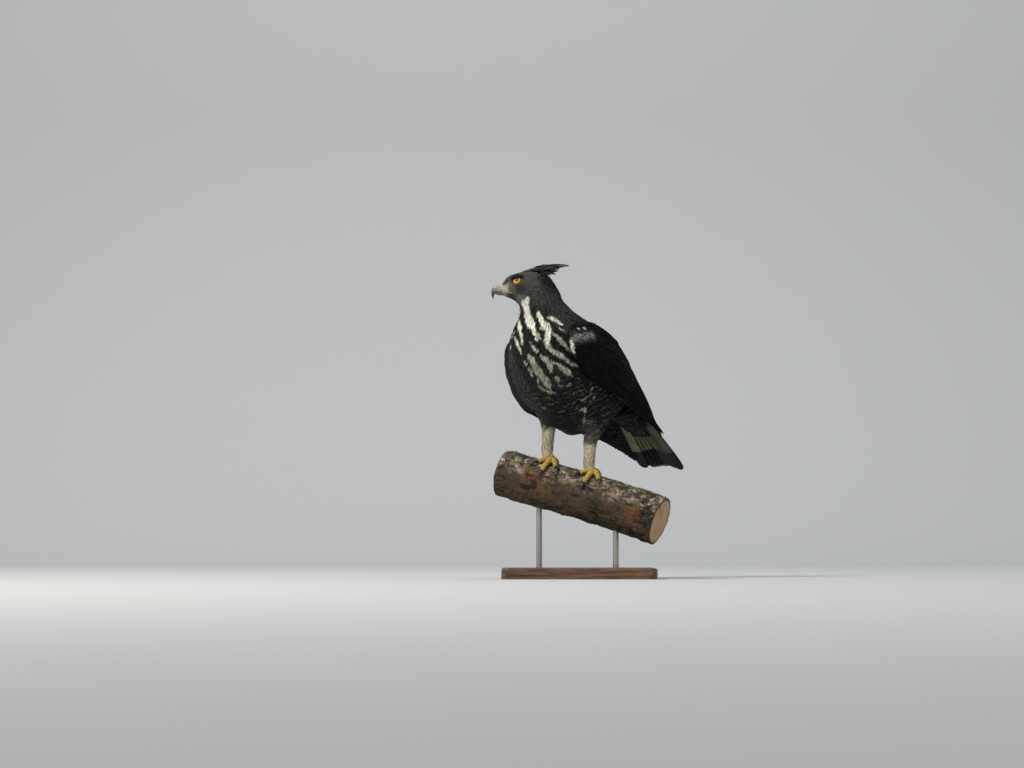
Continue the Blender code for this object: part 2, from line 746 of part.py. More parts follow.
# The foot's joint: radius at its top, middle and sole
ANKLE_RADII = (9.0, 9.6, 8.0)
SOLE_HEIGHT = 3.5
TOE_CLEAR = 0.2
CLAW_ARCH = 2.4
CLAW_TIP_RADIUS = 0.3
CLAW_TIP_HEIGHT = 1.0
# Each toe: its number, its heading off straight across the branch, its length and its claw's
TOES = (("1", 180.0, 25.0, 21.0), ("2", -36.0, 29.0, 19.0), ("3", -2.0, 42.0, 17.0), ("4", 34.0, 33.0, 15.0))
TOE_STEPS = 5
CLAW_STEPS = 6
FOOT_TURN = 4.0


def run_on_bark(x, heading, gone, height):
    """A point, with its outward direction, after going a distance over the bark from under the ankle."""
    angle = math.radians(heading)
    turn = FOOT_TURN + math.degrees(gone * math.cos(angle) / (BRANCH_RADIUS + TOE_RADIUS))
    return on_bark(x, turn, gone * math.sin(angle), height)


def make_foot(name, x, ankle, sign):
    """A foot: the joint below the tarsus and four toes laid over the bark."""
    s, t, u = ankle
    top = bird(s, sign * t, u - FACE_GAP)
    sole, _ = on_bark(x, FOOT_TURN, 0.0, SOLE_HEIGHT)
    rings = [oval(centre, LEFT, FORWARD, radius, radius, radius, LEG_POINTS)
             for centre, radius in zip((top, (top + sole) / 2, sole), ANKLE_RADII)]
    pieces = [loft(name, rings)]
    radii = np.linspace(TOE_RADIUS, TOE_END_RADIUS, TOE_STEPS)
    for _, heading, reach, _ in TOES:
        steps = [run_on_bark(x, heading, reach * k, radii[i] + TOE_CLEAR)
                 for i, k in enumerate(np.linspace(0, 1, TOE_STEPS))]
        pieces.append(tube("toe", [p for p, _ in steps], [out for _, out in steps], radii, 8))
    return joined(name, pieces)


def make_claw(name, x, heading, reach, length):
    """A curved claw that carries on from its toe and comes down to the bark."""
    path, rises, radii = [], [], []
    for k in np.linspace(0, 1, CLAW_STEPS):
        height = ((TOE_END_RADIUS + TOE_CLEAR) * (1 - k) + CLAW_ARCH * math.sin(math.pi * k)
                  + CLAW_TIP_HEIGHT * k)
        point, out = run_on_bark(x, heading, reach + FACE_GAP + length * k, height)
        path.append(point)
        rises.append(out)
        radii.append(CLAW_RADIUS * (1 - k) ** 0.75 + CLAW_TIP_RADIUS)
    return tube(name, path, rises, radii, 8, 1.1)


# Perch and stand

# The bark's unevenness, and how far to each side of a foot the branch stays round before it begins
BARK_SWELL = 1.3
BARK_ROUND = 34.0
BARK_EASE = 30.0
BRANCH_SECTIONS = 13


def make_branch():
    """The cut length of branch: round under the feet, uneven elsewhere."""
    dice = random.Random(SEED)
    path = smooth(BRANCH_PATH, BRANCH_SECTIONS)
    feet = (bird(*LEFT_ANKLE)[0], bird(RIGHT_ANKLE[0], -RIGHT_ANKLE[1], 0.0)[0])
    waves = [(dice.uniform(0, 6.28), dice.uniform(0.4, 1.0)) for _ in range(6)]
    rings = []
    for i, centre in enumerate(path):
        along = unit(path[min(i + 1, len(path) - 1)] - path[max(i - 1, 0)])
        front = unit(np.cross(along, UP))
        rise = unit(np.cross(front, along))
        near = min(abs(centre[0] - x) for x in feet)
        rough = BARK_SWELL * min(max((near - BARK_ROUND) / BARK_EASE, 0.0), 1.0)
        ring = []
        for j in range(BRANCH_POINTS):
            angle = 2 * math.pi * j / BRANCH_POINTS
            swell = sum(size * math.sin((n + 1) * angle + phase + 0.7 * i * (n % 3))
                        for n, (phase, size) in enumerate(waves))
            radius = BRANCH_RADIUS + rough * swell
            ring.append(centre + (rise * math.cos(angle) + front * math.sin(angle)) * radius)
        rings.append(ring)
    return loft("perch_branch", rings)


def make_base():
    """The plain wooden base, with its upper edge eased."""
    rings = []
    for level, inset in ((0.0, 0.0), (BASE_THICK - 3.0, 0.0), (BASE_THICK - 0.9, 0.9), (BASE_THICK, 3.0)):
        ring = []
        for corner in range(4):
            cx = (BASE_LENGTH / 2 - BASE_CORNER) * (1, -1, -1, 1)[corner]
            cy = (BASE_WIDTH / 2 - BASE_CORNER) * (1, 1, -1, -1)[corner]
            for step in range(7):
                angle = math.radians(90 * corner + 15 * step)
                radius = BASE_CORNER - inset
                ring.append(np.array((cx + radius * math.cos(angle), cy + radius * math.sin(angle), level)))
        rings.append(ring)
    return loft("stand_base", rings)


def make_rod(name, x):
    """An upright rod from the base into the underside of the branch."""
    centre = branch_frame(x)[0]
    foot = BASE_THICK + FACE_GAP
    top = centre[2] - BRANCH_RADIUS * ROD_END
    path = [(centre[0], centre[1], level) for level in (foot, (foot + top) / 2, top)]
    rings = [oval(np.array(p), np.array((1.0, 0, 0)), np.array((0, 1.0, 0)), ROD_RADIUS, ROD_RADIUS,
                  ROD_RADIUS, ROD_POINTS) for p in path]
    return loft(name, rings)


# Tail

def tail_place(lateral, distance, height):
    """A point of the tail: distance up from its end along its axis, height off its upper face."""
    pitch = math.radians(TAIL_PITCH)
    s = TAIL_END_S + distance * math.cos(pitch) - height * math.sin(pitch)
    u = TAIL_END_U + distance * math.sin(pitch) + height * math.cos(pitch)
    return bird(s, lateral, u)


TAIL_NORMAL = unit(-FORWARD * math.sin(math.radians(TAIL_PITCH)) + UP * math.cos(math.radians(TAIL_PITCH)))


def tail_ring(distance, above, below, half_width):
    """A ring across the root of the tail."""
    centre = tail_place(0.0, distance, (above - below) / 2)
    half = (above + below) / 2
    return oval(centre, LEFT, TAIL_NORMAL, half_width, half, half, RING_POINTS, BODY_SQUARENESS)


# Tail coverts: how many, spacing, distance up the tail at root and tip, half width, height at root and tip
TAIL_COVERTS = ((4, 10.0, 140.0, 98.0, 9.0, (4.0, 9.0)), (3, 11.0, 116.0, 78.0, 9.0, (3.0, 5.0)),
                (4, 11.0, 128.0, 92.0, 9.5, (-24.0, -17.5)), (3, 12.0, 108.0, 66.0, 9.5, (-13.0, -6.5)))
TAIL_COVERT_CURVE = 0.006


def make_tail():
    """The tail: its root and twelve feathers, the middle pair on top."""
    rings = [body_ring(*TORSO_RINGS[-1], shift=-FACE_GAP),
             tail_ring(132.0, 9.0, 30.0, 33.0),
             tail_ring(98.0, 6.0, 15.0, 29.0),
             tail_ring(72.0, 3.0, 5.0, 22.0)]
    pieces = [loft("tail", rings)]
    for k in range(RECTRICES):
        place = k - (RECTRICES - 1) / 2
        out = abs(place)

        def at(share, place=place, out=out):
            end = 2.0 + 1.6 * max(out - 3.0, 0.0)
            distance = RECTRIX_ROOT + (end - RECTRIX_ROOT) * share
            gone = 1 - distance / TAIL_LENGTH
            spread = TAIL_SPREAD_ROOT + (TAIL_SPREAD_END - TAIL_SPREAD_ROOT) * gone
            lateral = place * spread + TAIL_SWING * gone
            height = -0.55 * out - 0.004 * lateral ** 2
            return tail_place(lateral, distance, height), TAIL_NORMAL

        lean = RECTRIX_LEAN if place > 0 else -RECTRIX_LEAN
        pieces.append(vane("rectrix", at, RECTRIX_HALF_WIDTH, RECTRIX_THICK, lean))
    for count, spread, start, end, half_width, rise in TAIL_COVERTS:
        for i in range(count):
            place = i - (count - 1) / 2

            def cover(share, place=place, spread=spread, start=start, end=end, rise=rise):
                distance = start + (end - start) * share
                lateral = place * spread * (1 + 0.25 * share) + TAIL_SWING * (1 - distance / TAIL_LENGTH)
                height = rise[0] + (rise[1] - rise[0]) * share
                height -= math.copysign(TAIL_COVERT_CURVE * lateral ** 2, rise[0])
                return tail_place(lateral, distance, height), TAIL_NORMAL

            pieces.append(vane("tail_covert", cover, half_width, FEATHER_THICK, 0.0, COVERT_STATIONS))
    return simplified(joined("tail", pieces))


def main():
    """Builds every node."""
    for item in list(bpy.data.objects):
        bpy.data.objects.remove(item, do_unlink=True)

    dark, grey, pale = (0.022, 0.022, 0.024), (0.045, 0.04, 0.036), (0.5, 0.46, 0.38)
    torso, neck, head = make_torso(), make_neck(), make_head()
    dice = random.Random(SEED)
    cores = [wing_core("wing_left", LEFT_WING, 1), wing_core("wing_right", RIGHT_WING, -1)]
    cut(torso, [wing_room(LEFT_WING, 1), wing_room(RIGHT_WING, -1)])
    tail = make_tail()
    cut(tail, [grown(core, GAP) for core in cores])
    finish(torso, pale, 0.85)
    finish(neck, grey, 0.85)
    finish(head, grey, 0.8)
    finish(tail, dark, 0.75)
    thighs = [make_thigh("thigh_left", LEFT_THIGH, 1), make_thigh("thigh_right", RIGHT_THIGH, -1)]
    for thigh in thighs:
        cut(thigh, [grown(torso, GAP)] + [grown(core, GAP) for core in cores])
        finish(thigh, dark, 0.85)
    for core, rows, sign in zip(cores, (LEFT_WING, RIGHT_WING), (1, -1)):
        feathers = make_feathers(rows, sign, dice)
        for feather in feathers:
            cut(feather, [grown(torso, FEATHER_TRIM), grown(tail, FEATHER_TRIM)])
        finish(simplified(joined(core.name, [core] + feathers)), dark, 0.7)
    finish(make_tarsus("tarsus_left", LEFT_THIGH, LEFT_ANKLE, 1), pale, 0.85)
    finish(make_tarsus("tarsus_right", RIGHT_THIGH, RIGHT_ANKLE, -1), pale, 0.85)

    branch = make_branch()
    for side, ankle, sign in (("left", LEFT_ANKLE, 1), ("right", RIGHT_ANKLE, -1)):
        x = bird(ankle[0], sign * ankle[1], 0.0)[0]
        foot = make_foot("foot_" + side, x, ankle, sign)
        cut(foot, [grown(branch, GAP)])
        finish(foot, (0.55, 0.40, 0.08), 0.55)
        for number, heading, reach, length in TOES:
            claw = make_claw("claw_" + side + "_" + number, x, heading, reach, length)
            cut(claw, [grown(foot, GAP)])
            finish(claw, (0.02, 0.02, 0.022), 0.3)

    socket_cutters = []
    for name, sign in (("eye_left", 1), ("eye_right", -1)):
        eye = make_eye(name, sign)
        socket_cutters.append(grown(eye, GAP))
        finish(eye, (0.75, 0.42, 0.03), 0.08)
    crest_pieces = make_crest_pieces()
    head_cutters = socket_cutters + [grown(piece, GAP) for piece in crest_pieces]
    cut(head, head_cutters + [mouth_cutter(1), mouth_cutter(-1)])
    finish(joined("crest", crest_pieces), dark, 0.75)
    upper = bill_piece("bill_upper", UPPER_BILL)
    axes = (HEAD_FORWARD, HEAD_LEFT, UP)
    cut(upper, [ball("nostril", on_head(NOSTRIL[0], NOSTRIL[1] * sign, NOSTRIL[2]), NOSTRIL_HALF, axes, 5, 8)
                for sign in (1, -1)])
    finish(upper, (0.05, 0.055, 0.065), 0.3)
    finish(bill_piece("bill_lower", LOWER_BILL), (0.045, 0.05, 0.06), 0.3)

    rods = [make_rod("stand_rod_1", ROD_SPOTS[0]), make_rod("stand_rod_2", ROD_SPOTS[1])]
    cut(branch, [grown(rod, GAP) for rod in rods])
    finish(branch, (0.19, 0.15, 0.10), 0.9)
    for rod in rods:
        finish(rod, (0.35, 0.34, 0.32), 0.35, 1.0)
    finish(make_base(), (0.16, 0.085, 0.045), 0.45, 0.0, False)


main()
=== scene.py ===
"""Looks of a perched Blyth's hawk-eagle, life size, on a cut branch over a plain stand.

Lengths are in millimetres until a mesh is made. The bird's frame counts s forward, t to its left
and u up from the perch. The head's frame counts h forward, w to its left and v up from the eyes.
"""

from __future__ import annotations

import logging
import math
from collections.abc import Callable
from dataclasses import dataclass, field
from enum import Enum

import bpy
import numpy as np
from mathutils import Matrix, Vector
from mathutils.bvhtree import BVHTree
from mathutils.kdtree import KDTree


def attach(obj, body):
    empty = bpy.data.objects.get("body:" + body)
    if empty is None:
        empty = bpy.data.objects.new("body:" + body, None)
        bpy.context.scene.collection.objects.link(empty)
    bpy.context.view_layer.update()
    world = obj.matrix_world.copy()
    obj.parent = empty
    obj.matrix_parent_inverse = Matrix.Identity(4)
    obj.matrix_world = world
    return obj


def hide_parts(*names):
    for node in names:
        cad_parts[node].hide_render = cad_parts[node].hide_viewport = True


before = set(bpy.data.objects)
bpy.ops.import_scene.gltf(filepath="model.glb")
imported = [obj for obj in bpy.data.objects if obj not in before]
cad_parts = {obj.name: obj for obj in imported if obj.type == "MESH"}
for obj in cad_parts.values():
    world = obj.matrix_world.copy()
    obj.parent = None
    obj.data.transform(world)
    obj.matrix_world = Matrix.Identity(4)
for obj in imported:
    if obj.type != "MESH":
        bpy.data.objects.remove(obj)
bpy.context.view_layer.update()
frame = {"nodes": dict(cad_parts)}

LOG = logging.getLogger("hawk_eagle")
MM = 0.001
SEED = 11
BODY = "root"

Array = np.ndarray
Item = bpy.types.Object
Look = bpy.types.Material
Triple = tuple[float, float, float]


# Frames and small maths

@dataclass(frozen=True)
class Frame:
    """A level frame of its own, turned about the vertical.

    Args:
        origin: its origin in the world, in mm.
        yaw: how far its forward direction is turned from world -X toward -Y, in degrees.
    """

    origin: Triple
    yaw: float

    def axes(self) -> Array:
        """The forward, left and up directions as rows.

        Returns:
            The directions.
        """
        angle = math.radians(self.yaw)
        return np.array(((-math.cos(angle), -math.sin(angle), 0.0),
                         (math.sin(angle), -math.cos(angle), 0.0), (0.0, 0.0, 1.0)))

    def place(self, points: Array) -> Array:
        """World positions of points given in this frame."""
        return np.asarray(self.origin) + np.asarray(points, float) @ self.axes()

    def turn(self, directions: Array) -> Array:
        """World directions of directions given in this frame."""
        return np.asarray(directions, float) @ self.axes()

    def local(self, points: Array) -> Array:
        """Points of the world in this frame."""
        return (np.asarray(points, float) - np.asarray(self.origin)) @ self.axes().T


BIRD = Frame((20.4, 30.0, 178.0), 42.0)
HEAD = Frame((-103.5, -46.0, 498.5), 5.0)
UP = np.array((0.0, 0.0, 1.0))


def unit(vectors: Array) -> Array:
    """Vectors at length one, along the last axis."""
    return vectors / np.maximum(np.linalg.norm(vectors, axis=-1, keepdims=True), 1e-9)


def eased(value: Array | float, low: float, high: float) -> Array:
    """A smooth step from 0 at low to 1 at high."""
    share = np.clip((np.asarray(value, float) - low) / (high - low), 0.0, 1.0)
    return share * share * (3 - 2 * share)


def around(count: int) -> Array:
    """Angles of so many points evenly round a ring."""
    return np.linspace(0, 2 * math.pi, count, endpoint=False)


def spokes(angle: Array, first: Array, second: Array) -> Array:
    """Directions turned by angles from a first direction toward a second."""
    return first * np.cos(angle)[..., None] + second * np.sin(angle)[..., None]


def spline(rows: Array, places: Array) -> Array:
    """Rows of numbers read by a smooth curve through them.

    Args:
        rows: (R, C) values, evenly spaced from place 0 to 1.
        places: (N,) places to read, which may lie a little outside 0 to 1.

    Returns:
        (N, C) values.
    """
    rows = np.asarray(rows, float)
    ends = np.vstack((2 * rows[0] - rows[1], rows, 2 * rows[-1] - rows[-2]))
    at = np.asarray(places, float) * (len(rows) - 1)
    index = np.clip(np.floor(at).astype(int), 0, len(rows) - 2)
    k = (at - index)[:, None]
    a, b, c, d = ends[index], ends[index + 1], ends[index + 2], ends[index + 3]
    return 0.5 * (2 * b + (c - a) * k + (2 * a - 5 * b + 4 * c - d) * k * k
                  + (3 * b - a - 3 * c + d) * k ** 3)


def lattice(points: Array, seed: float) -> Array:
    """Smooth noise from 0 to 1 with cells of size one.

    Args:
        points: (N, 3) points in mm.
        seed: which noise it is.

    Returns:
        (N,) values.
    """
    cell = np.floor(points)
    k = points - cell
    k = k * k * (3 - 2 * k)
    found = np.zeros(len(points))
    for corner in np.ndindex(2, 2, 2):
        share = np.prod(np.where(np.array(corner), k, 1 - k), axis=1)
        value = np.sin((cell + corner) @ np.array((12.9898, 78.233, 37.719)) + seed) * 43758.5453
        found += share * (value - np.floor(value))
    return found


def layered(points: Array, seed: float, layers: int = 4) -> Array:
    """Noise from 0 to 1 with finer and fainter layers."""
    parts = [lattice(points * 2.0 ** i, seed + i) * 0.5 ** i for i in range(layers)]
    return sum(parts) / (2 - 0.5 ** (layers - 1))


# Meshes

def fill_mesh(name: str, points: Array, faces: list[Array]) -> Item:
    """Makes a smooth object from points in millimetres.

    Args:
        name: the piece's name.
        points: points in mm, (N, 3) or any other shape (..., 3).
        faces: arrays of point numbers, each array with faces of one count of sides.

    Returns:
        The object, linked to the scene.
    """
    points = points.reshape(-1, 3)
    mesh = bpy.data.meshes.new(name)
    mesh.vertices.add(len(points))
    mesh.vertices.foreach_set("co", (points * MM).astype(np.float32).ravel())
    loops = np.concatenate([f.ravel() for f in faces]).astype(np.int32)
    sides = np.concatenate([np.full(len(f), f.shape[1]) for f in faces])
    mesh.loops.add(len(loops))
    mesh.loops.foreach_set("vertex_index", loops)
    mesh.polygons.add(len(sides))
    mesh.polygons.foreach_set("loop_start", np.concatenate(([0], np.cumsum(sides)[:-1])).astype(np.int32))
    mesh.polygons.foreach_set("use_smooth", np.ones(len(sides), bool))
    mesh.update(calc_edges=True)
    made = bpy.data.objects.new(name, mesh)
    bpy.context.scene.collection.objects.link(made)
    return made


def grid_faces(rows: int, count: int, closed: bool) -> Array:
    """Quads of a grid of points.

    Args:
        rows: how many rows.
        count: points in a row.
        closed: whether each row's last point is joined to its first.

    Returns:
        (N, 4) point numbers.
    """
    r, c = np.meshgrid(np.arange(rows - 1), np.arange(count if closed else count - 1), indexing="ij")
    a = r * count + c
    b = r * count + (c + 1) % count
    return np.stack((a, b, b + count, a + count), axis=-1).reshape(-1, 4)


def swept_faces(items: int, rows: int, count: int, turned: bool = False) -> list[Array]:
    """Faces of many closed tubes of one size.

    Args:
        items: how many tubes.
        rows: rings in a tube.
        count: points in a ring.
        turned: whether they face the other way.

    Returns:
        The sides and the ends.
    """
    total = rows * count
    start = (np.arange(items) * total)[:, None, None]
    sides = (grid_faces(rows, count, True)[None] + start).reshape(-1, 4)
    ends = np.stack((np.arange(count)[::-1], total - count + np.arange(count)))[None] + start
    ends = ends.reshape(-1, count)
    return [sides[:, ::-1], ends[:, ::-1]] if turned else [sides, ends]


def lathe_mesh(name: str, rings: Array) -> Item:
    """A closed tube through rings (R, C, 3) in mm, each end closed by one face."""
    return fill_mesh(name, rings, swept_faces(1, *rings.shape[:2]))


def tube_rings(path: Array, radii: Array, count: int, rise: Array = UP, flat: float = 1.0) -> Array:
    """Round rings along a path.

    Args:
        path: (R, 3) points in mm.
        radii: (R,) radii.
        count: points a ring.
        rise: the direction, or (R, 3) directions, that each ring's top leans to.
        flat: the ring's height as a share of its width.

    Returns:
        (R, count, 3) points.
    """
    along = unit(np.gradient(path, axis=0))
    side = unit(np.cross(along, np.broadcast_to(rise, path.shape)))
    top = np.cross(side, along)
    angle = around(count)
    ring = side[:, None] * np.sin(angle)[None, :, None] + top[:, None] * (np.cos(angle) * flat)[None, :, None]
    return path[:, None] + ring * radii[:, None, None]


def give_attribute(item: Item, name: str, values: Array) -> None:
    """Stores one number for each point of a mesh, for its material to read."""
    layer = item.data.attributes.new(name, "FLOAT", "POINT")
    layer.data.foreach_set("value", np.asarray(values, np.float32).ravel())


def joined(name: str, parts: list[Item]) -> Item:
    """One object from several, with their attributes and UV maps kept.

    Args:
        name: the piece's name.
        parts: the objects.

    Returns:
        The first object.
    """
    with bpy.context.temp_override(active_object=parts[0], selected_editable_objects=parts,
                                   selected_objects=parts, object=parts[0]):
        bpy.ops.object.join()
    parts[0].name = name
    return parts[0]


def baked(item: Item) -> Item:
    """The object with its modifiers turned into plain mesh.

    Args:
        item: the object.

    Returns:
        The same object.
    """
    mesh = bpy.data.meshes.new_from_object(item.evaluated_get(bpy.context.evaluated_depsgraph_get()))
    item.modifiers.clear()
    item.data = mesh
    return item


def stored(rows: bpy.types.bpy_prop_collection, key: str, width: int) -> Array:
    """Numbers held by a mesh's points, corners or map, one row for each.

    Args:
        rows: what holds them.
        key: their name there.
        width: how many each holds.

    Returns:
        (N, width) numbers.
    """
    found = np.empty(len(rows) * width, np.float32)
    rows.foreach_get(key, found)
    return found.reshape(-1, width)


def point_array(item: Item) -> Array:
    """The object's points in millimetres."""
    return stored(item.data.vertices, "co", 3).astype(float) / MM


def point_tree(points: Array) -> KDTree:
    """A search tree of points.

    Args:
        points: (N, 3) points in mm.

    Returns:
        The tree.
    """
    tree = KDTree(len(points))
    for i, point in enumerate(points):
        tree.insert(Vector(point), i)
    tree.balance()
    return tree


def finished(item: Item, *looks: Look) -> Item:
    """The object with these materials and no others.

    Args:
        item: the object.
        looks: the materials.

    Returns:
        The same object.
    """
    item.data.materials.clear()
    for look in looks:
        item.data.materials.append(look)
    return item


def hand_over(piece: Item, slot: str, *nodes: str) -> None:
    """Lets a piece ride on the body and stand for nodes.

    Args:
        piece: the piece.
        slot: its slot; not used.
        nodes: the nodes that it stands for.
    """
    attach(piece, BODY)
    if nodes:
        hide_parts(*nodes)
    LOG.info("%s: %d points", piece.name, len(piece.data.vertices))


# Shader nodes

class Number:
    """A number socket that draws Math nodes when it is reckoned with."""

    def __init__(self, sheet: Sheet, socket: bpy.types.NodeSocket) -> None:
        """Takes the sheet to draw in and the socket."""
        self.sheet = sheet
        self.socket = socket

    def __add__(self, other: Number | float) -> Number:
        """The sum."""
        return self.sheet.maths("ADD", self, other)

    def __sub__(self, other: Number | float) -> Number:
        """What is left after other is taken away."""
        return self.sheet.maths("SUBTRACT", self, other)

    def __rsub__(self, other: float) -> Number:
        """What is left of other after this is taken away."""
        return self.sheet.maths("SUBTRACT", other, self)

    def __mul__(self, other: Number | float) -> Number:
        """The product."""
        return self.sheet.maths("MULTIPLY", self, other)

    def __abs__(self) -> Number:
        """The size without the sign."""
        return self.sheet.maths("ABSOLUTE", self)

    def step(self, low: float, high: float) -> Number:
        """A smooth step from 0 at low to 1 at high, or back where low is greater.

        Args:
            low: where it is 0.
            high: where it is 1.

        Returns:
            The step.
        """
        ends = {1: low, 2: high, 3: 0.0, 4: 1.0} if low < high else {1: high, 2: low, 3: 1.0, 4: 0.0}
        node = self.sheet.add("MapRange", {0: self, **ends}, interpolation_type="SMOOTHSTEP")
        return Number(self.sheet, node.outputs[0])


class Sheet:
    """A node tree being drawn up, with short ways to add and join its nodes."""

    def __init__(self, tree: bpy.types.NodeTree) -> None:
        """Takes the tree to draw in."""
        self.tree = tree

    def add(self, kind: str, inputs: dict | None = None, **settings: object) -> bpy.types.Node:
        """Adds a node.

        Args:
            kind: the node's type name without its ShaderNode prefix.
            inputs: values, numbers or sockets for its inputs by name or number.
            **settings: its own properties.

        Returns:
            The node.
        """
        node = self.tree.nodes.new(kind if kind.startswith("NodeGroup") else "ShaderNode" + kind)
        for key, value in settings.items():
            setattr(node, key, value)
        for key, value in (inputs or {}).items():
            self.feed(node.inputs[key], value)
        return node

    def feed(self, socket: bpy.types.NodeSocket, value: object) -> None:
        """Joins a socket to a number or another socket, or gives it a plain value.

        Args:
            socket: the input.
            value: what it gets.
        """
        value = value.socket if isinstance(value, Number) else value
        if isinstance(value, bpy.types.NodeSocket):
            self.tree.links.new(value, socket)
        elif isinstance(value, tuple) and len(value) == 3 and socket.type == "RGBA":
            socket.default_value = (*value, 1.0)
        else:
            socket.default_value = value

    def maths(self, operation: str, *values: Number | float) -> Number:
        """The result of a Math node."""
        return Number(self, self.add("Math", dict(enumerate(values)), operation=operation).outputs[0])

    def layers(self, colour: object, *layers: tuple[object, object],
               how: str = "MIX") -> bpy.types.NodeSocket:
        """A colour under layers, each a share and a colour.

        Args:
            colour: the lowest colour.
            layers: the layers.

        Returns:
            The colour's socket.
        """
        for share, over in layers:
            inputs = {0: share, 6: colour, 7: over}
            colour = self.add("Mix", inputs, data_type="RGBA", blend_type=how).outputs[2]
        return colour

    def toned(self, colour: object, factor: Number) -> bpy.types.NodeSocket:
        """A colour multiplied by a number."""
        grey = self.add("CombineColor", {0: factor, 1: factor, 2: factor}).outputs[0]
        return self.layers(colour, (1.0, grey), how="MULTIPLY")

    def marks(self, *names: str) -> list[Number]:
        """Numbers stored on the mesh's points."""
        return [Number(self, self.add("Attribute", attribute_name=name).outputs["Fac"]) for name in names]

    def noise(self, scale: Number | float, detail: float = 4.0, rough: float = 0.55,
              stretch: Triple = (1.0, 1.0, 1.0)) -> Number:
        """Soft noise over the object's own coordinates.

        Args:
            scale: cells per metre.
            detail: how many finer layers it has.
            rough: how strong those are.
            stretch: what each coordinate is multiplied by first.

        Returns:
            The noise, from 0 to 1.
        """
        where = self.add("TexCoord").outputs["Object"]
        where = self.add("Mapping", {"Vector": where, "Scale": stretch}).outputs[0]
        inputs = {"Vector": where, "Scale": scale, "Detail": detail, "Roughness": rough}
        return Number(self, self.add("TexNoise", inputs).outputs["Fac"])

    def use(self, group: bpy.types.NodeTree, **inputs: object) -> dict[str, Number]:
        """Places a node group with its own values and gives its outputs by name."""
        node = self.add("Group", inputs, node_tree=group)
        return {socket.name: Number(self, socket) for socket in node.outputs}

    def shade(self, colour: object, height: Number | None = None, strength: float = 0.6, distance: float = 0.0003,
              rough: Number | None = None) -> None:
        """Joins what was drawn to the material's shader.

        Args:
            colour: the base colour.
            height: the relief, which becomes a bump.
            strength: how strongly the bump shows.
            distance: how high it is, in metres.
            rough: the roughness, where it isn't plain.
        """
        shader = self.tree.nodes["Principled BSDF"].inputs
        self.feed(shader["Base Color"], colour)
        if rough is not None:
            self.feed(shader["Roughness"], rough)
        if height is not None:
            bump = self.add("Bump", {"Strength": strength, "Distance": distance, "Height": height})
            self.feed(shader["Normal"], bump.outputs[0])


def new_group(name: str, draw: Callable[..., dict[str, Number]], **takes: float) -> bpy.types.NodeTree:
    """Makes a node group whose inputs and outputs are numbers.

    Args:
        name: the group's name.
        draw: takes the sheet and the inputs in order, and gives the outputs by name.
        **takes: the inputs with their defaults.

    Returns:
        The group.
    """
    tree = bpy.data.node_groups.new(name, "ShaderNodeTree")
    for label, value in takes.items():
        tree.interface.new_socket(label, in_out="INPUT", socket_type="NodeSocketFloat").default_value = value
    sheet = Sheet(tree)
    entry = sheet.add("NodeGroupInput")
    gives = draw(sheet, *(Number(sheet, entry.outputs[label]) for label in takes))
    for label in gives:
        tree.interface.new_socket(label, in_out="OUTPUT", socket_type="NodeSocketFloat")
    sheet.add("NodeGroupOutput", gives)
    return tree


class Effects:
    """The shader node groups that several finishes share, each built once."""

    def __init__(self) -> None:
        """Builds the groups."""
        self.barbs = new_group("vane_barbs", self.draw_barbs, Across=0.0, Along=0.5, Count=60.0)
        self.drop = new_group("drop_mark", self.draw_drop, Across=0.0, Along=0.5, Width=0.4)
        self.bars = new_group("pale_bars", self.draw_bars, Across=0.0, Phase=0.0, Share=0.2, Bow=0.3)
        self.mottle = new_group("mottle", self.draw_mottle, Scale=60.0, Strength=0.3)

    @staticmethod
    def draw_barbs(sheet: Sheet, across: Number, along: Number, count: Number) -> dict[str, Number]:
        """Fine slanting barbs to each side of a shaft.

        Args:
            sheet: the sheet to draw in.
            across: the place across the vane.
            along: the place along it.
            count: how many barbs.

        Returns:
            Height, Shaft and Rim.
        """
        wide = abs(across)
        wave = sheet.maths("SINE", (along - wide * 0.16) * count * 6.283)
        return {"Height": wave * 0.5 + 0.5, "Shaft": wide.step(0.09, 0.03), "Rim": wide.step(0.62, 0.98)}

    @staticmethod
    def draw_drop(_: Sheet, across: Number, along: Number, width: Number) -> dict[str, Number]:
        """A drop-shaped dark mark down the middle of a feather, widest near its tip."""
        swell = along.step(0.1, 0.75) * along.step(1.0, 0.86)
        return {"Mask": ((swell * 0.8 + 0.2) * width - abs(across)).step(-0.05, 0.07)}

    @staticmethod
    def draw_bars(sheet: Sheet, across: Number, phase: Number, share: Number,
                  bow: Number) -> dict[str, Number]:
        """Narrow pale bars that run on from feather to feather, bowed to each feather's tip."""
        off = abs(sheet.maths("FRACT", phase + across * across * bow) - 0.5)
        return {"Mask": (share * 0.5 - off).step(-0.07, 0.05)}

    @staticmethod
    def draw_mottle(sheet: Sheet, scale: Number, strength: Number) -> dict[str, Number]:
        """Uneven tone at two scales."""
        both = sheet.noise(scale, 4.0, 0.5) + sheet.noise(scale * 7.0, 3.0, 0.5)
        return {"Factor": (both - 1.0) * strength + 1.0}


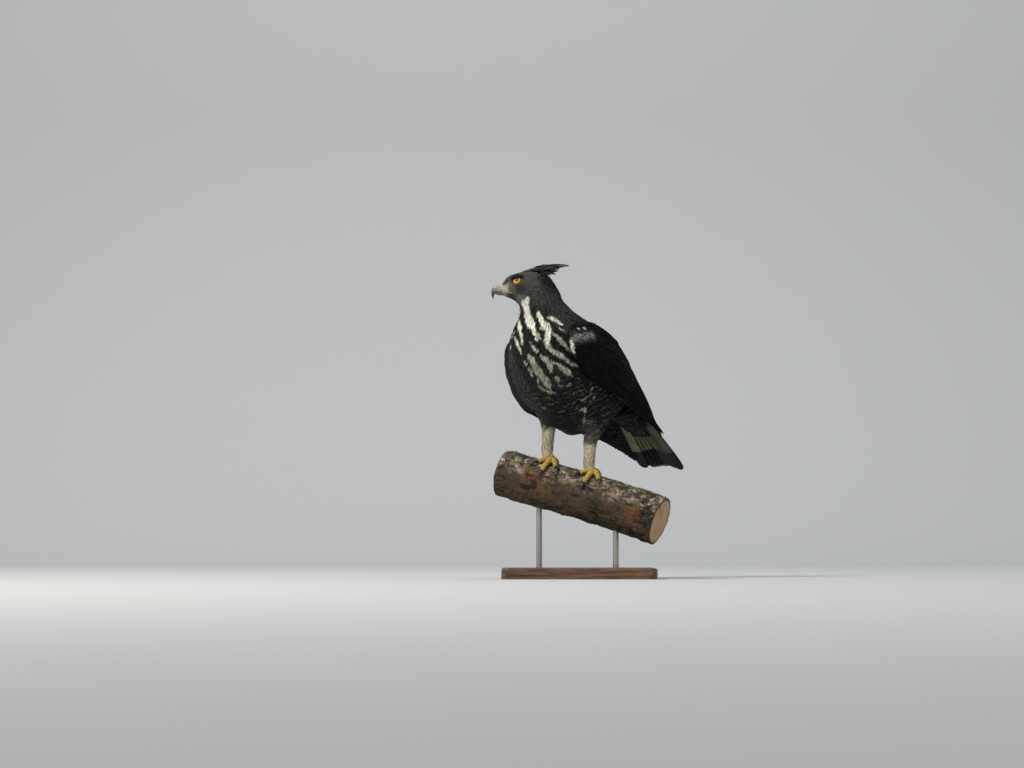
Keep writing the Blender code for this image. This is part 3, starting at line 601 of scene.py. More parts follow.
@dataclass(frozen=True)
class Finish:
    """What every finish has.

    Args:
        name: the material's name.
        roughness: its plain roughness.
        specular: how strongly it reflects.
        gloss: the weight and roughness of its clear coat.
        metallic: whether it is metal.
    """

    name: str
    roughness: float = 0.6
    specular: float = 0.5
    gloss: tuple[float, float] = (0.0, 0.03)
    metallic: float = 0.0

    def build(self, effects: Effects) -> Look:
        """Makes the material from its plain values and what it paints.

        Args:
            effects: the shared node groups.

        Returns:
            The material.
        """
        look = bpy.data.materials.new(self.name)
        look.use_nodes = True
        plain = {"Roughness": self.roughness, "Specular IOR Level": self.specular, "Metallic": self.metallic,
                 "Coat Weight": self.gloss[0], "Coat Roughness": self.gloss[1]}
        for key, value in plain.items():
            look.node_tree.nodes["Principled BSDF"].inputs[key].default_value = value
        self.paint(Sheet(look.node_tree), effects)
        return look

    def paint(self, sheet: Sheet, effects: Effects) -> None:
        """Draws the material's nodes; each finish has its own way."""
        raise NotImplementedError


@dataclass(frozen=True)
class Plumage(Finish):
    """Feathers, marked by what is stored on their points.

    Args:
        dark: the colour of the dark parts.
        pale: the colour of the pale parts.
        faint: the colour of those that are only partly pale, tinted olive by painted greenish light.
        bar: the colour of the pale bars.
        grey: the colour that the greyer parts turn to.
        fringe: the colour of a dark feather's edge.
        shaft: the colour of the shafts.
        warm: what the warmer parts are multiplied by.
        barb_count: barbs along one feather.
        bump: how far the barbs stand up, in metres.
        bar_share: how much of a bar's room it fills.
    """

    dark: Triple = (0.0055, 0.0057, 0.006)
    pale: Triple = (0.92, 0.90, 0.80)
    faint: Triple = (0.80, 0.82, 0.60)
    bar: Triple = (0.26, 0.26, 0.215)
    grey: Triple = (0.285, 0.29, 0.275)
    fringe: Triple = (0.022, 0.021, 0.019)
    shaft: Triple = (0.03, 0.028, 0.024)
    warm: Triple = (1.0, 0.83, 0.7)
    barb_count: float = 30.0
    bump: float = 0.00022
    bar_share: float = 0.24

    def paint(self, sheet: Sheet, effects: Effects) -> None:
        """Paints pale and dark parts, drops, bars, shafts and barbs.

        Args:
            sheet: the sheet to draw in.
            effects: the shared node groups.
        """
        across, along, white, grey, warm, tone = sheet.marks("across", "along", "white", "grey", "warm", "tone")
        bars, phase, streak = sheet.marks("bars", "phase", "streak")
        barbs = sheet.use(effects.barbs, Across=across, Along=along, Count=self.barb_count)
        mottle = sheet.use(effects.mottle, Scale=55.0, Strength=0.4)["Factor"]
        drop = sheet.use(effects.drop, Across=across, Along=along, Width=streak)["Mask"]
        run = sheet.use(effects.bars, Across=across, Phase=phase, Share=self.bar_share, Bow=0.3)["Mask"]
        barred = run * bars * (sheet.noise(75.0, 3.0).step(0.43, 0.6) * 0.85 + 0.15)
        white = white * (1.0 - drop) * (1.0 - barred * 0.85)
        pale = sheet.layers(self.faint, (white.step(0.3, 0.9), self.pale))
        colour = sheet.layers(self.dark, (grey, self.grey), (barbs["Rim"] * 0.5, self.fringe), (barred, self.bar),
                              (white, pale), (barbs["Shaft"] * 0.25, self.shaft))
        colour = sheet.layers(colour, (warm, self.warm), how="MULTIPLY")
        sheet.shade(sheet.toned(colour, mottle * (tone * 0.36 + 0.82)), barbs["Height"], 0.6, self.bump,
                    barbs["Height"] * 0.12 + (self.roughness - 0.06))


@dataclass(frozen=True)
class TailPlumage(Finish):
    """Tail and flight feathers, banded by their distance from the tip.

    Args:
        dark: the colour of the dark parts.
        band: the colour of the broad band, pale grey tinted olive by painted greenish light.
        tip: the colour of the narrow tip.
        rim: the colour of the edges.
        shaft: the colour of the shafts.
        band_room: where the broad band begins and ends, in mm from the tip.
        band_strength: how pale the band is above.
        under_strength: how pale it is below.
        tip_width: how wide the narrow tip is, in mm.
    """

    dark: Triple = (0.0075, 0.0075, 0.0085)
    band: Triple = (0.25, 0.255, 0.15)
    tip: Triple = (0.4, 0.36, 0.27)
    rim: Triple = (0.03, 0.027, 0.023)
    shaft: Triple = (0.04, 0.036, 0.03)
    band_room: tuple[float, float] = (43.0, 101.0)
    band_strength: float = 0.35
    under_strength: float = 1.0
    tip_width: float = 4.5

    def paint(self, sheet: Sheet, effects: Effects) -> None:
        """Paints the band, the tip, shafts and barbs.

        Args:
            sheet: the sheet to draw in.
            effects: the shared node groups.
        """
        across, along, reach, under, tone = sheet.marks("across", "along", "reach", "under", "tone")
        barbs = sheet.use(effects.barbs, Across=across, Along=along, Count=130.0)
        mottle = sheet.use(effects.mottle, Scale=45.0, Strength=0.4)["Factor"]
        wavy = sheet.noise(90.0) * 5.0 + (reach - 2.5)
        low, high = self.band_room
        side = under * (self.under_strength - self.band_strength) + self.band_strength
        band = wavy.step(low - 2.0, low + 2.5) * wavy.step(high + 5.0, high - 5.0) * side * tone
        tip = wavy.step(self.tip_width + 2.0, self.tip_width - 1.0) * 0.7
        colour = sheet.layers(self.dark, (band, self.band), (tip, self.tip), (barbs["Rim"] * 0.2, self.rim),
                              (barbs["Shaft"] * 0.35, self.shaft))
        sheet.shade(sheet.toned(colour, mottle), barbs["Height"],
                    rough=barbs["Height"] * 0.14 + (self.roughness - 0.07))


@dataclass(frozen=True)
class Horn(Finish):
    """Bill and claw horn, darkest at its tip.

    Args:
        root_colour: the colour where it grows.
        tip_colour: the colour at its tip.
        turn: where along it the colour turns, as shares of its length.
    """

    gloss: tuple[float, float] = (0.35, 0.25)
    root_colour: Triple = (0.27, 0.28, 0.27)
    tip_colour: Triple = (0.012, 0.012, 0.014)
    turn: tuple[float, float] = (0.25, 0.72)

    def paint(self, sheet: Sheet, effects: Effects) -> None:
        """Paints the turn of colour, with fine growth lines.

        Args:
            sheet: the sheet to draw in.
            effects: the shared node groups.
        """
        (reach,) = sheet.marks("reach")
        mottle = sheet.use(effects.mottle, Scale=220.0, Strength=0.35)["Factor"]
        colour = sheet.layers(self.root_colour, (reach.step(*self.turn), self.tip_colour))
        lines = sheet.maths("SINE", reach * 55.0) * 0.25
        sheet.shade(sheet.toned(colour, mottle), lines + sheet.noise(900.0), 0.35, 0.0001)


@dataclass(frozen=True)
class BareSkin(Finish):
    """Bare skin of toes, lids, cere and gape.

    Args:
        colour: its main colour.
        crease: the colour in its creases.
        cell: scale of its scales, per metre.
    """

    colour: Triple = (0.55, 0.39, 0.07)
    crease: Triple = (0.22, 0.15, 0.04)
    cell: float = 700.0

    def paint(self, sheet: Sheet, effects: Effects) -> None:
        """Paints small raised scales and darker creases.

        Args:
            sheet: the sheet to draw in.
            effects: the shared node groups.
        """
        inputs = {"Vector": sheet.add("TexCoord").outputs["Object"], "Scale": self.cell}
        cells = sheet.add("TexVoronoi", inputs, feature="DISTANCE_TO_EDGE")
        edge = Number(sheet, cells.outputs["Distance"])
        mottle = sheet.use(effects.mottle, Scale=160.0, Strength=0.5)["Factor"]
        colour = sheet.layers(self.colour, (edge.step(0.12, 0.02), self.crease))
        sheet.shade(sheet.toned(colour, mottle), edge.step(0.0, 0.3))


@dataclass(frozen=True)
class Iris(Finish):
    """The eye: black pupil, amber iris darker at its rim, clear gloss.

    Args:
        amber: the iris near the pupil.
        orange: the iris near its rim.
        streak: the streaks in it.
        pupil: the pupil.
        rim: what lies round the iris.
    """

    gloss: tuple[float, float] = (1.0, 0.03)
    amber: Triple = (0.86, 0.52, 0.06)
    orange: Triple = (0.85, 0.30, 0.015)
    streak: Triple = (0.3, 0.12, 0.01)
    pupil: Triple = (0.002, 0.002, 0.002)
    rim: Triple = (0.01, 0.008, 0.006)

    def paint(self, sheet: Sheet, _: Effects) -> None:
        """Paints the rings, read from the distance from the eye's axis in mm.

        Args:
            sheet: the sheet to draw in.
            _: not used.
        """
        (ring,) = sheet.marks("ring")
        sheet.shade(sheet.layers(self.amber, (ring.step(4.2, 6.8), self.orange),
                                 (sheet.noise(1500.0) * 0.35, self.streak), (ring.step(3.35, 3.1), self.pupil),
                                 (ring.step(7.1, 7.5), self.rim)))


@dataclass(frozen=True)
class Bark(Finish):
    """Rough bark: a pale crust and painted sunlight on top, darker bark beneath, moss and lichen, and bare wood on
    the cut ends.
    """

    crust_and_sunlight: Triple = (0.43, 0.33, 0.24)
    plate: Triple = (0.064, 0.044, 0.029)
    groove_shade: Triple = (0.018, 0.015, 0.011)
    moss: Triple = (0.075, 0.085, 0.018)
    lichen: Triple = (0.50, 0.51, 0.43)
    rust: Triple = (0.15, 0.055, 0.028)
    wood: Triple = (0.50, 0.34, 0.19)
    late_wood: Triple = (0.27, 0.16, 0.08)
    check_wood: Triple = (0.13, 0.08, 0.045)
    bark_ring: Triple = (0.07, 0.045, 0.028)

    def paint(self, sheet: Sheet, effects: Effects) -> None:
        """Paints the bark and the cut ends, read from stored depth, topside and cut marks.

        Args:
            sheet: the sheet to draw in.
            effects: the shared node groups.
        """
        depth, top, cut, ring, check = sheet.marks("depth", "top", "cut", "ring", "check")
        fine, grain = sheet.noise(420.0, 8.0, 0.7), sheet.noise(120.0, 6.0, 0.7)
        # upper is the branch's top, where the pale crust and lichen also stand as painted sunlight.
        upper = top.step(0.0, 0.85)
        crust_and_sunlight = sheet.noise(34.0, 6.0, 0.65).step(0.40, 0.58) * upper * grain.step(0.36, 0.56)
        rust = sheet.noise(19.0, 5.0, 0.6).step(0.53, 0.63) * 0.65
        lichen = sheet.noise(85.0, 7.0, 0.7).step(0.55, 0.61) * upper
        moss = sheet.noise(26.0, 7.0, 0.65).step(0.54, 0.62) * top.step(-0.6, 0.3) * 0.8
        # Painted shade darkens the bark where its relief is deepest.
        groove_shade = (depth * 0.8 + fine * 0.4).step(0.75, 0.2)
        late = sheet.maths("FRACT", (sheet.noise(28.0, 2.0) * 7.0 + ring) * 0.42).step(0.35, 0.95) * 0.55
        wood = sheet.layers(self.wood, (late, self.late_wood), (check.step(0.55, 0.9) * cut, self.check_wood),
                            (ring.step(34.0, 38.0) * 0.85, self.bark_ring))
        colour = sheet.layers(self.plate, (crust_and_sunlight, self.crust_and_sunlight), (rust, self.rust), (lichen, self.lichen),
                              (moss, self.moss), (groove_shade, self.groove_shade), (cut, wood))
        mottle = sheet.use(effects.mottle, Scale=90.0, Strength=0.8)["Factor"]
        sheet.shade(sheet.toned(colour, mottle), (fine + grain * 1.2) * (1.0 - cut * 0.85), 0.9, 0.0018)


@dataclass(frozen=True)
class OiledWood(Finish):
    """The base's dark oiled wood, its grain along the base's length."""

    light: Triple = (0.19, 0.095, 0.045)
    dark: Triple = (0.055, 0.024, 0.011)
    pore: Triple = (0.02, 0.009, 0.005)
    stretch: Triple = (1.6, 22.0, 22.0)

    def paint(self, sheet: Sheet, _: Effects) -> None:
        """Paints long grain and pores.

        Args:
            sheet: the sheet to draw in.
            _: not used.
        """
        grain = sheet.noise(9.0, 6.0, 0.6, self.stretch)
        pores = sheet.noise(60.0, 4.0, 0.7, self.stretch)
        colour = sheet.layers(self.dark, (grain.step(0.38, 0.62), self.light),
                              (pores.step(0.56, 0.66) * 0.7, self.pore))
        sheet.shade(colour, pores, 0.25, 0.0004, pores * 0.25 + (self.roughness - 0.1))


@dataclass(frozen=True)
class BrushedMetal(Finish):
    """The rods' brushed metal, its fine lines round each rod."""

    metallic: float = 1.0
    colour: Triple = (0.45, 0.43, 0.40)
    stretch: Triple = (30.0, 30.0, 2600.0)

    def paint(self, sheet: Sheet, effects: Effects) -> None:
        """Paints the lines and an uneven tone.

        Args:
            sheet: the sheet to draw in.
            effects: the shared node groups.
        """
        lines = sheet.noise(1.0, 3.0, 0.6, self.stretch)
        mottle = sheet.use(effects.mottle, Scale=40.0, Strength=0.3)["Factor"]
        rough = lines * 0.3 + (self.roughness - 0.12)
        sheet.shade(sheet.toned(self.colour, mottle), lines, 0.15, 0.0001, rough)


FINISHES = (
    Plumage("body_plumage", 0.75, 0.12),
    Plumage("covert_plumage", 0.62, 0.035, dark=(0.0022, 0.0027, 0.0028), fringe=(0.008, 0.0085, 0.008),
            barb_count=60.0),
    TailPlumage("flight_plumage", 0.58, 0.05, dark=(0.0024, 0.0026, 0.0028), band_room=(60.0, 66.0),
                band_strength=0.03, under_strength=0.3, tip_width=-5.0),
    TailPlumage("tail_plumage", 0.6, 0.18),
    Plumage("crest_plumage", 0.6, 0.15, barb_count=90.0),
    # The upper half's pale grey root is partly painted sunlight on the bill's top; the lower half's dark root is
    # partly painted shade under the bill.
    Horn("upper_bill_horn", 0.3, root_colour=(0.275, 0.28, 0.265), turn=(0.36, 0.74)),
    Horn("lower_bill_horn", 0.35, root_colour=(0.07, 0.075, 0.08), turn=(0.1, 0.6)),
    Horn("claw_horn", 0.3, root_colour=(0.016, 0.016, 0.018)),
    BareSkin("toe_skin", 0.5),
    BareSkin("scute_skin", 0.42, colour=(0.66, 0.46, 0.075), cell=420.0),
    BareSkin("lid_skin", 0.6, colour=(0.03, 0.028, 0.02), crease=(0.012, 0.011, 0.008), cell=1800.0),
    BareSkin("cere_skin", 0.45, colour=(0.50, 0.48, 0.39), crease=(0.32, 0.31, 0.25), cell=1500.0),
    BareSkin("gape_skin", 0.5, colour=(0.45, 0.40, 0.20), crease=(0.26, 0.22, 0.1), cell=1500.0),
    Iris("iris", 0.25),
    Bark("bark", 0.88, 0.25),
    BareSkin("moss", 0.9, colour=(0.10, 0.11, 0.022), crease=(0.03, 0.035, 0.01), cell=400.0),
    BareSkin("rootlet_bark", 0.85, colour=(0.15, 0.10, 0.06), crease=(0.05, 0.035, 0.02), cell=300.0),
    BrushedMetal("brushed_metal", 0.34),
    OiledWood("oiled_wood", 0.45),
)


# The plumage's lie, sizes and markings

@dataclass(frozen=True)
class Zone:
    """How the coat grows round one place of the body.

    Args:
        frame: the frame its numbers are in.
        place: the place, in mm.
        reach: how far it holds, in mm.
        lie: the direction that the feathers point in.
        length: a feather's length.
        half_width: half its width.
        lift: how high its tip stands over the skin.
        white: how pale it is.
        streak: the half width of its dark drop, as a share of the feather's.
        bars: how strongly it is barred.
        grey: how far its dark parts turn to the bars' colour.
        warm: how warm its tone is.
        both: whether the place is mirrored to the other side.
    """

    frame: Frame
    place: Triple
    reach: float
    lie: Triple
    length: float
    half_width: float
    lift: float
    white: float = 0.0
    streak: float = 0.0
    bars: float = 0.0
    grey: float = 0.15
    warm: float = 0.0
    both: bool = True


HEAD_ZONES = (
    ((25, 8, -11), 8, (-1, 0.25, 0.2), 3, 0.9, 0.5, 0.55, 0, 0, 1, 0.3),
    ((13, 15, -12), 7, (-1, 0.25, -0.1), 3.8, 1.1, 0.6, 0, 0, 0, 0.42, 0.45),
    ((23, 6, 0), 7, (-1, 0.2, 0.5), 3.4, 1.1, 0.6, 0, 0, 0, 0.16),
    ((10, 0, 11), 12, (-1, 0, 0.3), 4.8, 1.5, 0.8, 0, 0, 0, 0.25, 0.2),
    ((-14, 8, 18), 14, (-1, 0, 0.12), 7, 2, 1, 0, 0, 0, 0.32, 0.2),
    ((2, 18, 9), 8, (-1, 0.1, 0.1), 4.4, 1.3, 0.7, 0, 0, 0, 0.05),
    ((0, 20, -9), 9, (-1, 0.05, -0.3), 5.4, 1.35, 0.7, 0, 0, 0, 0.13),
    ((-18, 24, -4), 14, (-1, 0, -0.35), 8.4, 1.9, 1, 0, 0, 0, 0.26),
    ((14, 8, -26), 8, (-1, 0.1, -0.3), 4.8, 1.25, 0.7, 0, 0.1, 0, 0.16),
    ((-3, 14, -28), 9, (-0.9, 0, -0.5), 6.4, 1.6, 0.9, 0.06, 0.1, 0, 0.42),
    ((-45, 10, 6), 16, (-0.7, 0, -0.7), 13, 2.7, 2.2, 0, 0, 0, 0.02),
    ((-38, 26, -18), 16, (-0.5, 0, -0.9), 13, 2.4, 1.5, 0, 0, 0, 0.15),
    ((-16, 18, -44), 14, (-0.2, 0, -1), 10.5, 2.2, 1.2, 0, 0.1, 0, 0.12),
)
BODY_ZONES = (
    # the neck and back
    ((66, 12, 285), 22, (-0.6, 0, -0.8), 18, 4.6, 1.8, 0, 0, 0, 0.015),
    # The grey of the next two zones, at the sides of the neck, is partly painted sheen of the sky on the black
    # feathers.
    ((98, 42, 272), 22, (-0.35, 0.1, -0.9), 16, 3.1, 1.6, 0, 0, 0, 0.16),
    ((78, 54, 262), 22, (-0.8, 0.1, -0.6), 18, 4.8, 1.8, 0, 0, 0, 0.05),
    ((36, 24, 262), 28, (-0.9, 0, -0.6), 25, 6.4, 2, 0, 0, 0, 0.01),
    ((-10, 20, 235), 30, (-0.75, 0, -0.75), 27, 7, 2, 0, 0, 0, 0.01),
    ((-55, 15, 185), 28, (-0.65, 0, -0.8), 26, 6.8, 2, 0, 0, 0, 0.015),
    # the breast
    ((142, 12, 266), 18, (0.35, 0, -1), 12, 2.8, 1.5, 0, 0.06, 0, 0.03),
    ((158, 16, 228), 26, (0.15, 0, -1), 16, 3.4, 1.8, 0, 0.06, 0, 0.03),
    ((140, 48, 225), 24, (-0.2, 0.2, -1), 16, 3.4, 1.8, 0, 0.06, 0, 0.03),
    ((108, 64, 205), 22, (-0.6, 0.15, -0.9), 16, 3.8, 1.8, 0, 0.06, 0, 0.03),
    ((160, 20, 180), 26, (-0.2, 0, -1), 17, 3.6, 1.8, 0, 0.06, 0, 0.03),
    ((132, 50, 160), 26, (-0.55, 0.1, -0.9), 17, 3.8, 1.8, 0, 0.06, 0.22, 0.03),
    # the belly, flanks and vent
    ((128, 15, 120), 24, (-0.7, 0, -0.8), 17, 3.9, 1.8, 0, 0, 0.34, 0.015),
    ((82, 20, 80), 26, (-0.95, 0, -0.45), 17, 4.2, 1.7, 0, 0, 0.2, 0),
    ((84, 62, 130), 26, (-0.75, 0.1, -0.8), 19, 4.4, 2, 0, 0, 0.5, 0.01),
    ((40, 62, 120), 26, (-0.8, 0, -0.7), 18, 5.2, 2.1, 0, 0, 0.32, 0.01),
    ((20, 10, 64), 26, (-1, 0, 0), 17, 5, 1.8, 0, 0, 0.25, 0.01),
    ((-40, 14, 80), 26, (-0.9, 0, -0.25), 21, 6.2, 2, 0, 0, 0.2, 0.01),
    # the legs
    ((22, 64, 102), 20, (0.05, 0, -1), 14, 3.8, 1.9, 0, 0, 0.4, 0.01),
    ((46, 42, 84), 16, (-0.05, 0, -1), 12, 3.2, 1.7, 0, 0, 1, 0.16),
    ((36, 42, 66), 12, (0.05, 0, -1), 9, 2.4, 1.3, 0.06, 0, 0.8, 0.2, 0.5),
    ((37, 37, 44), 13, (0, 0, -1), 6.4, 1.7, 1, 0.66, 0, 0.6, 0.9, 1),
    ((35.5, 35, 12), 12, (0, 0, -1), 5, 1.5, 0.7, 0.6, 0, 0.4, 0.9, 1),
    ((68, -29, 78), 13, (0, 0, -1), 8, 2.2, 1.1, 0.7, 0, 0.3, 0.8, 1, False),
    ((59, -39, 84), 12, (0, 0, -1), 8, 2.3, 1.3, 0.5, 0, 0.5, 0.75, 1, False),
    ((64, -36, 62), 12, (0, 0, -1), 6.4, 1.7, 1, 0.66, 0, 0.6, 0.9, 1, False),
    ((66.7, -35, 36), 12, (0, 0, -1), 5, 1.5, 0.7, 0.6, 0, 0.4, 0.9, 1, False),
)
ZONES = tuple(Zone(place, *row) for place, rows in ((HEAD, HEAD_ZONES), (BIRD, BODY_ZONES)) for row in rows)
MARKS = ("white", "streak", "bars", "grey", "warm")
# Where the right wing wraps round, the raised grey is partly painted sunlight on the wing's sunward face.
PLAIN_MARKS = {"bars": 0.12, "grey": 0.1, "streak": 0.0}


@dataclass(frozen=True)
class Stripe:
    """A pale stripe of the breast.

    Args:
        line: its points as s, t, u and half width.
        strength: how pale it is.
        both: whether it is mirrored to the other side.
        over: whether it also shows on the plain feathers of the right wing.
    """

    line: tuple[tuple[float, float, float, float], ...]
    strength: float = 1.0
    both: bool = True
    over: bool = False


STRIPES = (
    Stripe(((144, 0, 291, 3.4), (143, -7, 281, 7), (145, 0, 268, 7), (148, 7, 257, 6.7),
            (150, 16, 246, 6.4), (152, 22, 238, 4.6), (152, 29, 228, 3), (153, 34, 217, 0.9)), 1, False),
    Stripe(((152, 24, 235, 1.5), (150, 33, 228, 2), (148, 41, 219, 0.8)), 0.9),
    Stripe(((140, -27, 262, 0.9), (150, -14, 249, 4), (154, -7, 238, 4.3), (159, 2, 225, 3),
            (162, 9, 210, 0.9)), 1, False),
    Stripe(((154, -24, 228, 0.9), (160, -10, 220, 2.1), (163, 0, 208, 3.6), (163, 7, 197, 0.9)), 0.85, False),
    # This short pale spot on the right wing's front is a painted highlight, not a marking.
    Stripe(((157, -29, 211, 2), (158, -25, 208, 2.2)), 0.95, False, True),
    Stripe(((140, 20, 274, 0.9), (141, 25, 262, 4), (141, 33, 251, 4.9), (140, 39, 243, 8.2),
            (138, 45, 237, 6.1), (140, 48, 225, 4.6), (144, 47, 214, 4.3)), 1),
    Stripe(((143, 47, 214, 4), (141, 49, 206, 4.3), (136, 54, 199, 4.3), (127, 59, 195, 4.6),
            (118, 63, 189, 3.3), (106, 65, 180, 3), (93, 67, 177, 2.1), (89, 68, 172, 0.6)), 0.62),
    Stripe(((131, 39, 259, 1.2), (126, 45, 254, 4.3), (121, 50, 249, 3.6), (112, 55, 245, 0.9)), 1),
    Stripe(((123, 52, 243, 0.8), (118, 57, 236, 2.3), (112, 62, 229, 0.8)), 0.7),
    Stripe(((114, 48, 260, 0.8), (106, 50, 259, 1.1), (103, 51, 259, 0.5)), 0.6),
    Stripe(((135, 49, 231, 1.2), (127, 57, 225, 3.3), (122, 60, 216, 4.3), (115, 63, 209, 3.6),
            (107, 66, 200, 1.5)), 0.55),
    Stripe(((105, 72, 222, 2.2), (110, 72, 216, 2.9), (112, 74, 210, 2.9), (112, 77, 204, 2.8), (110, 79, 197, 2.4),
            (107, 80, 192, 1.4)), 1, True, True),
    Stripe(((158, 23, 217, 0.9), (157, 30, 205, 2.7), (155, 34, 197, 1.2)), 0.85),
    Stripe(((161, 21, 195, 2.1), (159, 27, 185, 5.5), (154, 32, 173, 6.1), (147, 35, 161, 6.1),
            (140, 39, 152, 6.4), (134, 41, 145, 5.5), (129, 38, 136, 1.8)), 0.41),
    Stripe(((163, 11, 187, 0.9), (163, 18, 179, 2.7), (162, 18, 176, 0.9)), 0.4, False),
    Stripe(((159, 21, 173, 1.2), (155, 24, 165, 3), (152, 24, 158, 0.9)), 0.42),
    Stripe(((148, 30, 154, 1.2), (143, 28, 142, 2.4), (134, 32, 135, 2.1), (124, 39, 132, 2.1),
            (118, 43, 131, 0.6)), 0.5),
    Stripe(((151, 40, 193, 1.5), (146, 47, 187, 4.3), (139, 50, 178, 4.9), (137, 49, 171, 3.6),
            (135, 48, 164, 0.9)), 0.5),
    Stripe(((135, 53, 181, 1.5), (128, 56, 179, 2.7), (121, 59, 174, 4), (113, 61, 169, 4.9),
            (106, 62, 162, 3.3), (101, 63, 158, 0.8)), 0.6),
    Stripe(((129, 50, 156, 0.9), (124, 53, 155, 3.6), (122, 50, 147, 1.5)), 0.35),
    Stripe(((122, 48, 143, 0.9), (113, 53, 143, 1.1)), 0.45),
    Stripe(((110, 53, 141, 0.9), (103, 57, 143, 1.7), (97, 59, 144, 0.8)), 0.42),
    Stripe(((100, 53, 129, 0.8), (92, 56, 131, 1.2), (83, 60, 134, 0.6)), 0.4),
    Stripe(((127, 26, 123, 0.9), (120, 35, 122, 0.9)), 0.4),
    Stripe(((95, 63, 154, 0.8), (87, 65, 156, 0.9)), 0.4),
    Stripe(((61, 62, 131, 0.6), (57, 65, 141, 1.4), (47, 67, 151, 0.6)), 0.45),
    Stripe(((75, 55, 119, 0.8), (66, 59, 124, 1.7), (57, 62, 131, 0.8)), 0.45),
    Stripe(((56, 57, 114, 0.6), (49, 61, 125, 1.5), (44, 63, 131, 0.6)), 0.45),
    Stripe(((45, 64, 133, 0.6), (34, 65, 142, 0.9)), 0.3),
    Stripe(((127, 10, 116, 0.8), (119, 14, 108, 1.7), (114, 18, 106, 0.8)), 0.42, False),
    Stripe(((107, 15, 101, 0.8), (105, 28, 105, 1.2)), 0.42),
    Stripe(((69, 51, 107, 0.9), (60, 52, 105, 3), (54, 49, 99, 1.2)), 0.6),
    Stripe(((55, 42, 91, 1.5), (48, 37, 84, 1.5)), 0.55),
    Stripe(((91, 69, 241, 0.8), (90, 69, 239, 3), (89, 69, 236, 0.8)), 0.9),
    Stripe(((78, 68, 241, 0.8), (76, 68, 239, 3.4), (74, 68, 236, 0.8)), 0.9),
)
WRAP_EDGE = ((102, 3), (128, 11), (156, 10), (168, 6), (186, 0), (213, -16),
             (228, -33), (240, -48), (262, -62))

BAR_PITCH = 9.4
LEG_BAR_PITCH = 4.6


def wrapped(points: Array) -> Array:
    """How far each point lies under the right wing's plain feathers, which wrap round the breast.

    Args:
        points: (N, 3) points in mm.

    Returns:
        (N,) shares.
    """
    s, t, u = BIRD.local(points).T
    edge = np.interp(u, *np.array(WRAP_EDGE).T)
    return eased(edge - t, -3.0, 4.0) * eased(s, 55.0, 80.0) * eased(u, 88.0, 104.0)


class CoatMap:
    """Reads the zones and stripes at any points of the body."""

    def __init__(self, zones: tuple[Zone, ...], stripes: tuple[Stripe, ...]) -> None:
        """Turns the zones and stripes into arrays of world positions.

        Args:
            zones: the zones.
            stripes: the stripes.
        """
        rows = []
        for zone in zones:
            for sign in ((1, -1) if zone.both and zone.place[1] else (1,)):
                a, b, c = zone.place
                x, y, z = zone.lie
                rows.append((zone, zone.frame.place((a, b * sign, c)), zone.frame.turn((x, y * sign, z))))
        self.places = np.array([row[1] for row in rows])
        self.reach = np.array([row[0].reach for row in rows])
        self.lies = unit(np.array([row[2] for row in rows]))
        self.values = {key: np.array([getattr(row[0], key) for row in rows])
                       for key in ("length", "half_width", "lift", *MARKS)}
        self.segments = []
        for stripe in stripes:
            for sign in ((1, -1) if stripe.both else (1,)):
                line = np.array(stripe.line, float)
                points = BIRD.place(line[:, :3] * (1, sign, 1))
                for i in range(len(line) - 1):
                    self.segments.append((points[i], points[i + 1], line[i, 3], line[i + 1, 3], stripe))

    def weights(self, points: Array) -> Array:
        """(N, Z) shares of the zones at each point, which add to one.

        Args:
            points: (N, 3) points in mm.

        Returns:
            The shares.
        """
        square = ((points ** 2).sum(axis=1)[:, None] + (self.places ** 2).sum(axis=1)
                  - 2 * points @ self.places.T)
        away = np.sqrt(np.maximum(square, 0)) / self.reach[None]
        weight = 1.0 / (0.01 + away ** 5)
        return weight / weight.sum(axis=1, keepdims=True)

    def read(self, points: Array, *keys: str) -> list[Array]:
        """The named values at each point.

        Args:
            points: (N, 3) points in mm.
            keys: the names of the values.

        Returns:
            An array for each name.
        """
        weight = self.weights(points)
        plain = wrapped(points)
        return [weight @ self.values[key] * (1 - plain) + PLAIN_MARKS[key] * plain if key in PLAIN_MARKS
                else weight @ self.values[key] for key in keys]

    def lie(self, points: Array) -> Array:
        """The direction that the feathers point in at each point."""
        return unit(self.weights(points) @ self.lies)

    def stripes(self, points: Array) -> Array:
        """How pale the stripes make each point.

        Args:
            points: (N, 3) points in mm.

        Returns:
            (N,) values from 0 to 1.
        """
        found = np.zeros(len(points))
        open_side = 1 - wrapped(points)
        warp = [layered(points / (9.0, 9.0, 15.0), seed, 3) - 0.5 for seed in (3.0, 13.0, 23.0)]
        points = points + 4.0 * np.stack(warp, axis=1)
        for start, end, wide_start, wide_end, stripe in self.segments:
            run = end - start
            share = np.clip((points - start) @ run / max(run @ run, 1e-6), 0, 1)
            away = np.linalg.norm(points - start - share[:, None] * run, axis=1)
            wide = wide_start + (wide_end - wide_start) * share
            pale = stripe.strength * (1 - eased(away - wide, -1.0, 0.6))
            found = np.maximum(found, pale if stripe.over else pale * open_side)
        return found

    @staticmethod
    def phase(points: Array) -> Array:
        """Where each point lies in the run of the bars, which cross the coat's lie.

        Args:
            points: (N, 3) points in mm.

        Returns:
            (N,) phases.
        """
        s, t, u = BIRD.local(points).T
        leg = eased(u, 96.0, 70.0)
        run = u + 0.45 * s * (1 - leg) + 12.0 * lattice(points / 26.0, 5.0) + 5.0 * lattice(points / 9.0, 7.0)
        knee = np.where(t > 0, 54.0, 78.0)
        return run / BAR_PITCH + np.minimum(u - knee, 0) * (1 / LEG_BAR_PITCH - 1 / BAR_PITCH)


# Feather vanes

